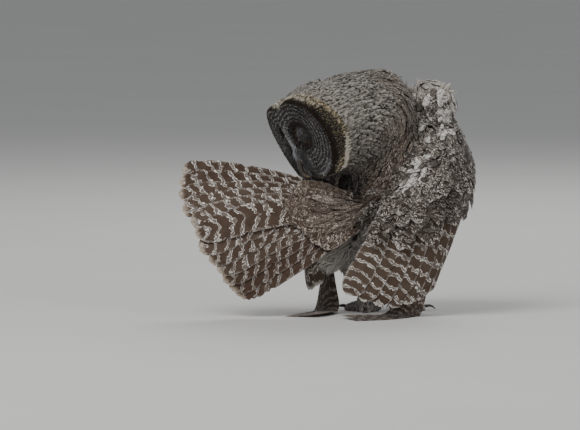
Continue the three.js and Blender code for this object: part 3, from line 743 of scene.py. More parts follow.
BODY_LIE = [
    ("nape", (20, -30, 372), (0.8, 0, -0.6), 18, 8, 0.22, 0.10, 0.9),
    ("nape", (52, -40, 325), (0.1, 0, -1), 26, 10, 0.06, 0.10, 0.9),
    ("nape", (0, -66, 290), (-0.3, 0, -0.95), 26, 10, 0.08, 0.10, 0.9),
    ("nape", (-32, -62, 246), (-0.6, 0, -0.8), 26, 10, 0.04, 0.08, 0.8),
    ("nape", (40, 95, 330), (0.1, 0.2, -1), 26, 10, 0.30, 0.05, 0.8),
    ("mantle", (40, -58, 270), (-0.45, 0, -0.9), 32, 12, 0.06, 0.10, 1.0),
    ("mantle", (5, -66, 225), (-0.6, 0, -0.8), 34, 12, 0.05, 0.10, 1.0),
    ("mantle", (-10, -84, 185), (-0.9, 0, -0.35), 36, 12, 0.05, 0.10, 1.0),
    ("flank", (0, -66, 130), (-0.4, 0, -0.9), 36, 12, 0.34, 0.04, 0.5),
    ("flank", (-40, -50, 105), (-0.6, 0, -0.8), 32, 7, 0.50, 0.03, 0.4),
    ("vent", (-60, -52, 85), (-0.6, 0, -0.8), 30, 5.5, 1.0, 0.02, 0.35),
    ("vent", (-88, -46, 74), (-0.5, 0, -0.85), 30, 5.5, 1.0, 0.02, 0.35),
    ("flank", (90, 40, 150), (0, 0, -1), 36, 14, 0.36, 0.05, 0.7),
    ("breast", (35, 95, 250), (0, 0.1, -1), 34, 14, 0.40, 0.04, 0.9),
    ("breast", (15, 96, 160), (0, 0, -1), 36, 15, 0.46, 0.04, 0.8),
    ("breast", (-40, 85, 220), (-0.1, 0.1, -1), 34, 14, 0.40, 0.04, 0.9),
    ("belly", (10, 50, 60), (0, 0, -1), 30, 8, 0.52, 0.03, 0.5),
    ("belly", (-45, 10, 70), (-0.5, 0, -0.9), 30, 8, 0.50, 0.03, 0.4),
    ("shoulder", (88, -10, 366), (0.7, 0, -0.6), 16, 8, 0.72, 0.04, 1.0),
    ("shoulder", (60, -30, 345), (0.3, 0, -0.9), 20, 10, 0.16, 0.08, 0.9),
    ("shoulder", (108, -22, 345), (0.35, -0.1, -1), 17, 9, 1.0, 0.02, 1.0),
    ("shoulder", (120, -22, 318), (0.25, -0.1, -1), 19, 10, 0.45, 0.02, 1.0),
    ("shoulder", (112, -45, 285), (0.1, -0.2, -1), 22, 11, 0.06, 0.08, 1.0),
    ("shoulder", (88, -76, 245), (-0.2, -0.1, -1), 24, 12, 0.04, 0.10, 1.0),
    ("shoulder", (50, -96, 205), (-0.5, -0.1, -0.9), 25, 12, 0.04, 0.10, 1.0),
    ("shoulder", (120, 20, 280), (0.1, 0, -1), 24, 12, 0.06, 0.08, 1.0),
    ("left_shoulder", (-80, 60, 245), (-0.2, 0.1, -1), 24, 11, 0.05, 0.08, 1.0),
    ("left_shoulder", (-105, 10, 195), (0, 0, -1), 24, 12, 0.05, 0.08, 1.0),
]
LEG_LIE = ((38, 15, 6, 0.48, 0.06), (6, 8, 3.6, 0.42, 0.10))  # height, length, width, pale and warm
RUMP_LIE = ((0.08, 42, 10), (0.2, 46, 13), (0.36, 50, 16))  # share of the tail, length and width
VENT_SHARES = (0.15, 0.45, 0.75)
VENT_LIE = (30, 5.5, 1.0, 0.02, 0.35)


def head_way(left, up, forward):
    return left * LEFT + up * UP + forward * FORWARD


def on_sheet(sheet, u, t, lift):
    u, t, lift = (np.array([float(a)]) for a in (u, t, lift))
    return sheet.at(u, t, lift)[0], sheet.frame(u, t)[0][0]


LIE = [(group, head_point(*at), head_way(*way), *rest) for group, at, way, *rest in HEAD_LIE]
LIE += BODY_LIE
for height, length, width, pale, warm in LEG_LIE:
    for x in LEG_X:
        LIE.append(("legs", (x, LEG_Y, height), (0, 0, -1), length, width, pale, warm, 0.7))
for u in (0.1, 0.5, 0.9):
    for t, length, width in RUMP_LIE:
        LIE.append(("rump", *on_sheet(FAN, u, t, 14), length, width, 0.16, 0.08, 1.0))
    for t in VENT_SHARES:
        LIE.append(("vent", *on_sheet(VENT, u, t, 8), *VENT_LIE))
LIE_AT = np.array([row[1] for row in LIE], float)
LIE_WAY = unit(np.array([row[2] for row in LIE]))
LIE_SIZE = np.array([row[3:5] for row in LIE], float)
LIE_MARK = np.array([row[5:8] for row in LIE], float)
LIE_BLEND = 26.0
RUFF_SIZE = (8.0, 3.6)
RUFF_MARK = np.array([0.36, 0.8, 1.0])
MOUSTACHE_MARK = np.array([1.0, 0.16, 0.2])
# Behind the disc's rim: partly its own dark brown edge, partly painted shade where the disc folds in and
# under the chin.
DARK_RIM_AND_SHADE_MARK = np.array([0.0, 0.0, 0.0])
FOOT_HEIGHT = 19.0


def lie_weights(points):
    away = np.linalg.norm(points[:, None] - LIE_AT[None], axis=2)
    away = away - away.min(1, keepdims=True)
    w = np.exp(-away / LIE_BLEND * 2)
    return w / w.sum(1, keepdims=True)


def lie_ways(points, normals):
    """The way the coat lies at each point, along the skin."""
    way = lie_weights(points) @ LIE_WAY
    ankles = [np.array([x, LEG_Y, 0.0]) for x in LEG_X]
    left_off, right_off = (np.abs(points[:, :1] - x) for x in LEG_X)
    nearest = np.where(left_off < right_off, *ankles)
    outward = unit((points - nearest) * [1, 1, 0] + [0, 0, -3])
    foot = smooth(FOOT_HEIGHT + 4, FOOT_HEIGHT - 4, points[:, 2:3])
    way = mix(way, outward, foot)
    return laid(way, normals)


def rim_angle(points):
    """Degrees round the disc from the crown, and how far out on it."""
    left, up, _ = head_place(points)
    return np.degrees(np.abs(np.arctan2(left, up))), face_share(points)


def near_head(points):
    return smooth(HEAD_REACH, HEAD_REACH - 8, np.linalg.norm(points - HEAD_CENTRE, axis=1))


def ruff_share(points):
    """The band of speckled feathers round the disc, widest at its sides."""
    angle, share = rim_angle(points)
    end = mix(1.12, 1.36, smooth(20, 100, angle))
    band = smooth(0.97, 1.02, share) * smooth(end, end - 0.1, share) * smooth(168, 150, angle)
    return band * near_head(points)


def markings(points):
    """Pale, warm and barred shares of the plumage at each point."""
    marks = lie_weights(points) @ LIE_MARK
    angle, share = rim_angle(points)
    ruff = ruff_share(points)[:, None]
    marks = mix(marks, RUFF_MARK, ruff * smooth(25, 70, angle)[:, None])
    moustache = ruff[:, 0] * smooth(98, 112, angle) * smooth(156, 146, angle) * smooth(1.05, 1.13, share)
    marks = mix(marks, MOUSTACHE_MARK, moustache[:, None])
    # A dark band just behind the disc's rim, widest at its sides, and a patch under the chin: partly the
    # rim's own dark brown, partly painted shade where the disc folds in and under the head.
    reach = mix(1.05, 1.2, smooth(60, 90, angle) * smooth(126, 106, angle))
    dark_rim_and_shade = smooth(reach, reach - 0.05, share)
    dark_rim_and_shade = np.maximum(dark_rim_and_shade, smooth(146, 156, angle) * smooth(1.6, 1.4, share)) * (share > 0.9)
    dark_rim_and_shade *= near_head(points)
    return mix(marks, DARK_RIM_AND_SHADE_MARK, dark_rim_and_shade[:, None])


class Ground:
    """A surface that feathers are rooted in: its faces' middles, normals and places on the bake square."""

    def __init__(self, points, faces, face_normals, areas, face_uv=None):
        self.middles = np.array([points[f].mean(0) for f in faces])
        self.face_normals = face_normals
        self.tree = BVHTree.FromPolygons(points.tolist(), faces)
        self.areas = areas
        self.face_uv = face_uv


class Skin(Ground):
    """The skin's mesh, and what the coat asks of it."""

    def __init__(self):
        self.mesh = make_skin()
        points, edges = read_mesh(self.mesh)
        on_face = (face_share(points) < FACE_EDGE) & (head_place(points)[2] > 10)
        keep = np.where(on_face, FACE_EASE, 1.0) * smooth(2, 12, points[:, 2])
        points = relax(points, edges, keep, SKIN_ROUNDS)
        self.set_points(points)
        from_head = np.linalg.norm(points - HEAD_CENTRE, axis=1)
        depth = mix(HEAD_DEPTH, COAT_DEPTH, smooth(*HEAD_TO_BODY, from_head))
        leg_depth = mix(FOOT_DEPTH, COAT_DEPTH, smooth(*FOOT_TO_BODY, points[:, 2]))
        depth = np.where(on_face, FACE_DEPTH, np.minimum(depth, leg_depth))
        depth = relax(depth[:, None], edges, np.ones(len(points)), DEPTH_ROUNDS)
        points = points - self.vertex_normals() * depth
        points[:, 2] = np.maximum(points[:, 2], 0)
        self.set_points(points)
        self.points = points
        normals = self.vertex_normals()
        faces = [list(p.vertices) for p in self.mesh.polygons]
        face_normals = unit(np.array([normals[f].mean(0) for f in faces]))
        super().__init__(points, faces, face_normals, read(self.mesh.polygons, "area") * MM * MM)

    def set_points(self, points):
        self.mesh.vertices.foreach_set("co", to_world(points).astype(np.float32).ravel())
        self.mesh.update()

    def vertex_normals(self):
        return read(self.mesh.vertex_normals, "vector", width=3).astype(float)

    def unwrap(self, piece):
        bpy.context.view_layer.objects.active = piece
        piece.select_set(True)
        self.mesh.uv_layers.new(name="OFBake")
        bpy.ops.object.mode_set(mode="EDIT")
        bpy.ops.mesh.select_all(action="SELECT")
        bpy.ops.uv.smart_project(angle_limit=math.radians(SEAM_ANGLE), island_margin=ISLAND_GAP)
        bpy.ops.object.mode_set(mode="OBJECT")
        piece.select_set(False)
        uv = read(self.mesh.uv_layers["OFBake"].data, "uv", width=2)
        self.face_uv = uv[read(self.mesh.polygons, "loop_start", np.int32)]

    def paint(self):
        own = np.full((len(self.points), 1), 0.5)
        set_mark(self.mesh, np.concatenate([markings(self.points), own], 1))


# Feathers rooted in the skin

def scatter(skin, keep, spacing):
    """Face numbers spread evenly over the kept part of the skin, with an own spacing for each face."""
    chosen = np.flatnonzero(keep)
    per_face = skin.areas[chosen] / spacing[chosen] ** 2 * ROOT_TRIES
    pick = chosen[random.random(len(chosen)) < per_face]
    pick = pick[random.permutation(len(pick))]
    tree = KDTree(len(pick))
    for i, f in enumerate(pick):
        tree.insert(Vector(skin.middles[f]), i)
    tree.balance()
    blocked = np.zeros(len(pick), bool)
    taken = []
    for i, f in enumerate(pick):
        if blocked[i]:
            continue
        taken.append(f)
        for _, j, _ in tree.find_range(Vector(skin.middles[f]), spacing[f] * ROOT_GAP):
            blocked[j] = True
    return np.array(taken)


# Small feathers: stations as shares of the length, widths at them, and the columns across
SHARES = np.array([0, 0.3, 0.58, 0.8, 0.93, 1.0])
BROAD_TIP = np.array([0.5, 0.92, 1.0, 0.88, 0.6, 0.12])
NARROW_TIP = np.array([0.55, 0.85, 0.8, 0.6, 0.38, 0.1])
WHISKER = np.array([1.0, 0.9, 0.75, 0.55, 0.35, 0.15])
FINE = (-1, 0, 1)
WIDE = (-1, -0.6, 0, 0.6, 1)
PATCH = 0.003  # of the bake square, which one small feather fills


def trace(skin, roots, ways, lengths):
    """Walks each feather over the skin, and gives its spine, way and normals at each station."""
    count = len(roots)
    spine, along, normal = (np.zeros((count, len(SHARES), 3)) for _ in range(3))
    nearest = skin.tree.find_nearest
    for i in range(count):
        p, w, n = Vector(roots[i]), Vector(ways[i]), None
        before = 0.0
        for j, share in enumerate(SHARES):
            p, n, _, _ = nearest(p + w * (lengths[i] * (share - before)))
            before = share
            w = (w - n * w.dot(n)).normalized()
            spine[i, j], along[i, j], normal[i, j] = p, w, n
    return spine, along, normal


def end_caps(sides, stations):
    """Faces of four corners that close the first and the last ring of a feather."""
    last = (stations - 1) * sides
    if sides == 4:
        return np.array([[0, 3, 2, 1], [last, last + 1, last + 2, last + 3]])
    return np.array([
        [0, 5, 2, 1], [2, 5, 4, 3],
        [last, last + 1, last + 2, last + 5], [last + 2, last + 3, last + 4, last + 5],
    ])


def coat_piece(
    name, ground, faces, lengths, widths, ways, marks, rise,
    profile=BROAD_TIP, cross=WIDE, thick=0.5, base=0.6, camber=0.16, curl=0.0, sink=2.0,
):
    """Closed small feathers rooted at a ground's faces. rise lifts the tips, curl bends them down again."""
    count = len(faces)
    roots, normals = ground.middles[faces], ground.face_normals[faces]
    spine, along, normal = trace(ground, roots, ways, lengths)
    shares = SHARES[None, :, None]
    lift = base + rise[:, None, None] * shares - curl * rise[:, None, None] * shares**3
    spine = spine + normal * lift
    spine[:, 0] -= normal[:, 0] * sink
    run = unit(np.gradient(spine, axis=1))
    across = unit(np.cross(run, normal))
    out = np.cross(across, run)
    roll = random.normal(0, ROLL, (count, 1, 1))
    across, out = across + out * roll, out - across * roll
    cross = np.array(cross, float)
    stations, sides = len(SHARES), len(cross) + 1
    ragged = 1 - random.uniform(0, 0.3, (count, stations, len(cross))) * (np.abs(cross) == 1)
    half = (widths[:, None] / 2 * profile[None])[..., None, None]
    at = (cross * ragged)[..., None]
    over = spine[:, :, None] + across[:, :, None] * half * at
    over -= out[:, :, None] * (half * camber * at**2)
    over += out[:, :, None] * (thick * (1 - np.abs(at)) * 0.7)
    under = spine - out * (thick * 0.4 + half[:, :, 0] * camber * 0.25)
    ring = np.concatenate([over, under[:, :, None]], 2)
    ring[..., 2] = np.maximum(ring[..., 2], ABOVE_FLOOR)
    one = np.concatenate([ring_faces(stations, sides), end_caps(sides, stations)])[:, ::-1]
    mesh_faces = (np.arange(count)[:, None, None] * stations * sides + one[None]).reshape(-1, 4)
    x = np.broadcast_to(np.append(cross, 0.0)[None, None], (count, stations, sides))
    d = np.broadcast_to((lengths[:, None] * (1 - SHARES[None]))[..., None], x.shape)
    vane = np.stack([x, d], -1).reshape(-1, 2)
    patch = np.stack([x * 0.5, np.broadcast_to(SHARES[None, :, None] - 0.5, x.shape)], -1) * PATCH
    bake = (ground.face_uv[faces][:, None, None] + patch).reshape(-1, 2)
    mark = np.repeat(np.concatenate([marks, random.random((count, 1))], 1), stations * sides, 0)
    return build_mesh(name, ring.reshape(-1, 3), mesh_faces, {"OFBake": bake, "Vane": vane}, mark)


def coat_pieces(name, material, slot, ground, faces, most, *values, **shape):
    """The same as coat_piece, parted so that no mesh holds more feathers than most."""
    for k in range(0, len(faces), most):
        part = slice(k, k + most)
        label = f"{name}_{k // most + 1}"
        piece = coat_piece(label, ground, faces[part], *(v[part] for v in values), **shape)
        dress(piece, material)


# Shader nodes

class Nodes:
    """Short forms for building a node tree."""

    def __init__(self, tree):
        self.tree = tree

    def add(self, kind, **values):
        node = self.tree.nodes.new(kind)
        for key, value in values.items():
            setattr(node, key, value)
        return node

    def link(self, source, target):
        if isinstance(source, bpy.types.NodeSocket):
            self.tree.links.new(source, target)
        else:
            target.default_value = source

    def math(self, operation, *values, clamp=False):
        node = self.add("ShaderNodeMath", operation=operation, use_clamp=clamp)
        for value, socket in zip(values, node.inputs):
            self.link(value, socket)
        return node.outputs[0]

    def plus(self, a, b):
        return self.math("ADD", a, b)

    def minus(self, a, b):
        return self.math("SUBTRACT", a, b)

    def times(self, a, b):
        return self.math("MULTIPLY", a, b)

    def about(self, noise, amount):
        """A noise as an offset either way."""
        return self.times(self.minus(noise, 0.5), amount)

    def ramp(self, value, low, high):
        node = self.add("ShaderNodeMapRange", interpolation_type="SMOOTHSTEP")
        for key, v in (("Value", value), ("From Min", low), ("From Max", high)):
            self.link(v, node.inputs[key])
        return node.outputs["Result"]

    def mix(self, share, a, b):
        node = self.add("ShaderNodeMix", data_type="RGBA")
        factor, first, second = node.inputs[0], node.inputs[6], node.inputs[7]
        for value, socket in ((share, factor), (a, first), (b, second)):
            self.link(value, socket)
        return node.outputs[2]

    def join(self, x, y, z):
        node = self.add("ShaderNodeCombineXYZ")
        for value, socket in zip((x, y, z), node.inputs):
            self.link(value, socket)
        return node.outputs[0]

    def split(self, vector):
        node = self.add("ShaderNodeSeparateXYZ")
        self.link(vector, node.inputs[0])
        return node.outputs[0], node.outputs[1], node.outputs[2]

    def ahead(self, place, start, way):
        """How far a place lies along a way from a start, in metres."""
        away = self.add("ShaderNodeVectorMath", operation="SUBTRACT")
        self.link(place, away.inputs[0])
        away.inputs[1].default_value = to_world(np.asarray(start, float))
        along = self.add("ShaderNodeVectorMath", operation="DOT_PRODUCT")
        self.link(away.outputs[0], along.inputs[0])
        along.inputs[1].default_value = way
        return along.outputs["Value"]

    def place(self):
        return self.add("ShaderNodeNewGeometry").outputs["Position"]

    def noise(self, vector, scale, detail=2.0, rough=0.5):
        node = self.add("ShaderNodeTexNoise")
        for key, value in (("Vector", vector), ("Scale", scale), ("Detail", detail), ("Roughness", rough)):
            self.link(value, node.inputs[key])
        return node.outputs["Fac"]

    def mark(self):
        """The plumage's markings: pale, warm and barred shares, and each feather's own number."""
        node = self.add("ShaderNodeAttribute", attribute_name="mark")
        channels = self.add("ShaderNodeSeparateColor")
        self.link(node.outputs["Color"], channels.inputs[0])
        return (*channels.outputs[:3], node.outputs["Alpha"])


def new_group(name, colors, floats, outputs):
    """A node group with named color and float inputs, and outputs of a kind each."""
    tree = bpy.data.node_groups.new(name, "ShaderNodeTree")
    inputs = [(key, "Color") for key in colors] + [(key, "Float") for key in floats]
    for way, sockets in (("INPUT", inputs), ("OUTPUT", outputs)):
        for key, kind in sockets:
            tree.interface.new_socket(key, in_out=way, socket_type="NodeSocket" + kind)
    nodes = Nodes(tree)
    enter = nodes.add("NodeGroupInput").outputs
    leave = nodes.add("NodeGroupOutput").inputs
    return tree, nodes, enter, leave


BAR_KEYS = ("Spacing", "Line", "Pair", "Wave", "Chevron", "Edge", "One Side", "Tip", "Fill", "Vary")


def bars_group():
    """Wavy pale lines in pairs across a vane, with pale edges and tip, in millimetres along the feather."""
    tree, n, enter, leave = new_group(
        "Wavy bars", ("Ground", "Pale", "Tip Color"), (*BAR_KEYS, "Strength"),
        [("Color", "Color"), ("Height", "Float")],
    )
    x, d, _ = n.split(n.add("ShaderNodeUVMap", uv_map="Vane").outputs[0])
    seed = n.mark()[3]
    far = n.times(seed, 60.0)
    side = n.math("ABSOLUTE", x)

    def cloud(across, along, shift=None, detail=1.0):
        shifted = (n.times(x, across), n.times(d, along), n.plus(far, shift) if shift else far)
        return n.noise(n.join(*shifted), 1.0, detail)

    low = cloud(1.5, 0.06)
    fine = cloud(5.0, 0.16, detail=2.0)
    sway = n.plus(n.about(low, 2.2), n.about(fine, 1.5))
    bent = n.plus(n.plus(d, n.times(sway, enter["Wave"])), n.times(side, enter["Chevron"]))
    phase = n.math("FRACT", n.plus(n.math("DIVIDE", bent, enter["Spacing"]), seed))
    centre = n.math("ABSOLUTE", n.minus(phase, 0.5))
    gap = n.times(n.math("ABSOLUTE", n.minus(centre, enter["Pair"])), enter["Spacing"])
    patchy = cloud(2.5, 0.12, 9.0)
    width = n.times(enter["Line"], n.plus(0.35, n.times(patchy, 1.3)))
    line = n.minus(1.0, n.ramp(gap, n.times(width, 0.45), width))
    own = n.math("FRACT", n.times(seed, 7.3))
    strength = n.times(enter["Strength"], n.minus(1.0, n.times(own, enter["Vary"])))
    line = n.times(n.times(line, n.ramp(patchy, 0.3, 0.55)), strength)
    inside = n.times(n.math("LESS_THAN", centre, enter["Pair"]), n.times(enter["Fill"], strength))
    both_edges = n.times(side, n.minus(1.0, enter["One Side"]))
    outer = n.plus(both_edges, n.times(n.times(x, -1.0), enter["One Side"]))
    rim_from = n.minus(0.82, n.times(enter["One Side"], 0.7))
    rim = n.times(n.ramp(n.plus(outer, n.about(fine, 0.5)), rim_from, n.plus(rim_from, 0.2)), enter["Edge"])
    nick = cloud(2.0, 0.42, 21.0)
    rim = n.times(n.times(rim, n.ramp(nick, 0.38, 0.5)), strength)
    tip = n.ramp(n.plus(d, n.about(fine, 7.0)), 0.0, enter["Tip"])
    share = n.math("MAXIMUM", n.math("MAXIMUM", line, inside), rim, clamp=True)
    body = n.mix(share, enter["Ground"], enter["Pale"])
    tip_share = n.times(n.minus(1.0, tip), 0.85)
    n.link(n.mix(tip_share, body, enter["Tip Color"]), leave["Color"])
    barb = n.math("SINE", n.times(n.plus(d, n.times(side, 9.0)), 5.2))
    n.link(n.plus(n.times(barb, 0.5), n.times(fine, 1.2)), leave["Height"])
    return tree


def tint_group():
    """The ground colour of the plumage from its markings, mottled by place and varied by feather."""
    tree, n, enter, leave = new_group(
        "Plumage tint", ("Dark", "Light", "Warm"), ("Mottle", "Mottle Scale", "Own Tone"),
        [("Color", "Color"), ("Bars", "Float")],
    )
    pale, warm, bars, seed = n.mark()
    place = n.place()
    cloud = n.times(n.about(n.noise(place, enter["Mottle Scale"], 3.0), 2.0), enter["Mottle"])
    own = n.times(n.minus(seed, 0.5), enter["Own Tone"])
    vary = n.times(n.plus(cloud, own), n.ramp(bars, 0.0, 0.5))
    share = n.math("ADD", pale, vary, clamp=True)
    light = n.mix(warm, enter["Light"], enter["Warm"])
    n.link(n.mix(share, enter["Dark"], light), leave["Color"])
    n.link(bars, leave["Bars"])
    return tree


def new_material(name, roughness=0.9, sheen=0.12, specular=0.2):
    material = bpy.data.materials.new(name)
    material.use_nodes = True
    shader = material.node_tree.nodes["Principled BSDF"]
    shader.inputs["Roughness"].default_value = roughness
    shader.inputs["Sheen Weight"].default_value = sheen
    shader.inputs["Specular IOR Level"].default_value = specular
    return material, Nodes(material.node_tree), shader


def bump(n, shader, height, strength, distance):
    node = n.add("ShaderNodeBump")
    node.inputs["Strength"].default_value = strength
    node.inputs["Distance"].default_value = distance / MM
    n.link(height, node.inputs["Height"])
    n.link(node.outputs[0], shader.inputs["Normal"])


BARS = bars_group()
TINT = tint_group()
BROWN = (0.060, 0.036, 0.024)
DEEP = (0.030, 0.0195, 0.0145)
WARM = (0.26, 0.17, 0.06)
GREY = (0.38, 0.345, 0.305)
DOWN_GREY = (0.16, 0.15, 0.14)
DISC_DARK = (0.016, 0.014, 0.013, 1)
DISC_RING = (0.30, 0.29, 0.275, 1)
DISC_BROWN = (0.022, 0.012, 0.007, 1)
ASH_DARK = (0.26, 0.27, 0.28, 1)
ASH_LIGHT = (0.62, 0.63, 0.65, 1)
CLAW_DARK = (0.012, 0.010, 0.009, 1)
CLAW_LIGHT = (0.04, 0.034, 0.03, 1)
PUPIL = (0.004, 0.004, 0.004, 1)
IRIS_DARK = (0.50, 0.28, 0.02, 1)
IRIS_LIGHT = (0.80, 0.50, 0.04, 1)
LID_DARK = (0.010, 0.009, 0.008, 1)
LID_LIGHT = (0.05, 0.045, 0.04, 1)
FLOOR_DARK = (0.60, 0.59, 0.57, 1)
FLOOR_LIGHT = (0.64, 0.63, 0.61, 1)


def tinted(n, dark, light, warm=WARM, mottle=0.5, scale=90.0, own=0.3):
    ground = n.add("ShaderNodeGroup", node_tree=TINT)
    for key, color in (("Dark", dark), ("Light", light), ("Warm", warm)):
        ground.inputs[key].default_value = (*color, 1)
    for key, value in (("Mottle", mottle), ("Mottle Scale", scale), ("Own Tone", own)):
        ground.inputs[key].default_value = value
    return ground


def feather_material(name, tint, pale, tip, bars):
    """Plumage: a ground tinted by place, with wavy bars drawn along each feather."""
    material, n, shader = new_material(name)
    ground = tinted(n, **tint)
    lines = n.add("ShaderNodeGroup", node_tree=BARS)
    lines.inputs["Pale"].default_value = (*pale, 1)
    lines.inputs["Tip Color"].default_value = (*tip, 1)
    for key, value in zip(BAR_KEYS, bars):
        lines.inputs[key].default_value = value
    n.link(ground.outputs["Color"], lines.inputs["Ground"])
    n.link(ground.outputs["Bars"], lines.inputs["Strength"])
    n.link(lines.outputs["Color"], shader.inputs["Base Color"])
    bump(n, shader, lines.outputs["Height"], 0.35, 0.25)
    return material


def face_material():
    """A charcoal disc with fine speckled rings round each eye, pale by the bill and brown at the rim."""
    material, n, shader = new_material("Face disc", 0.9, 0.04, 0.1)
    place = n.place()
    away = []
    for side in (1, -1):
        node = n.add("ShaderNodeVectorMath", operation="DISTANCE")
        n.link(place, node.inputs[0])
        node.inputs[1].default_value = to_world(eye_centre(side) + 6 * FORWARD)
        away.append(node.outputs["Value"])
    near = n.times(n.math("MINIMUM", *away), MM)
    wobble = n.times(n.noise(place, 160.0, 2.0), RING_WOBBLE)
    wave = n.math("SINE", n.times(n.plus(near, wobble), 2 * math.pi / RING_GAP))
    speckle = n.ramp(n.noise(place, 420.0, 2.0), 0.42, 0.6)
    ring = n.times(n.plus(n.times(n.ramp(wave, -0.5, 0.8), 0.75), 0.25), speckle)
    pale, warm, rings, _ = n.mark()
    base = n.mix(n.times(ring, rings), DISC_DARK, DISC_RING)
    ash = n.mix(n.noise(place, 300.0, 2.0), ASH_DARK, ASH_LIGHT)
    color = n.mix(warm, n.mix(pale, base, ash), DISC_BROWN)
    n.link(color, shader.inputs["Base Color"])
    bump(n, shader, n.noise(place, 900.0, 2.0), 0.3, 0.2)
    return material


def horn_material(name, base, tip, way, start, reach, roughness, coat):
    """Horn that changes colour from its base to its tip, along a way from a starting point."""
    material, n, shader = new_material(name, roughness, 0.0, 0.5)
    place = n.place()
    ahead = n.ahead(place, start, way)
    streak = n.noise(place, 350.0, 4.0)
    share = n.ramp(n.plus(n.times(ahead, MM), n.about(streak, 10.0)), 0.0, reach)
    n.link(n.mix(share, (*base, 1), (*tip, 1)), shader.inputs["Base Color"])
    shader.inputs["Coat Weight"].default_value = coat
    bump(n, shader, streak, 0.25, 0.2)
    return material


def claw_material():
    material, n, shader = new_material("Claw horn", 0.32, 0.0, 0.5)
    streak = n.noise(n.place(), 400.0, 4.0)
    n.link(n.mix(n.ramp(streak, 0.35, 0.7), CLAW_DARK, CLAW_LIGHT), shader.inputs["Base Color"])
    shader.inputs["Coat Weight"].default_value = 0.3
    bump(n, shader, streak, 0.3, 0.2)
    return material


def eye_material(side):
    """Yellow iris and black pupil, round the eye's own axis."""
    material, n, shader = new_material("Eye", 0.08, 0.0, 0.6)
    place = n.place()
    depth = n.times(n.ahead(place, eye_centre(side), FORWARD), MM / EYE_R)
    iris = n.mix(n.noise(place, 500.0, 3.0), IRIS_DARK, IRIS_LIGHT)
    color = n.mix(n.ramp(depth, 0.42, 0.5), PUPIL, iris)
    n.link(n.mix(n.ramp(depth, 0.84, 0.88), color, PUPIL), shader.inputs["Base Color"])
    shader.inputs["Coat Weight"].default_value = 1.0
    return material


def lid_material():
    material, n, shader = new_material("Lid skin", 0.6, 0.0, 0.4)
    fold = n.noise(n.place(), 500.0, 4.0)
    n.link(n.mix(fold, LID_DARK, LID_LIGHT), shader.inputs["Base Color"])
    bump(n, shader, fold, 0.4, 0.3)
    return material


def skin_material():
    material, n, shader = new_material("Skin and down", 0.95, 0.1, 0.1)
    ground = tinted(n, DEEP, DOWN_GREY)
    n.link(ground.outputs["Color"], shader.inputs["Base Color"])
    bump(n, shader, n.noise(n.place(), 500.0, 3.0), 0.5, 0.6)
    return material


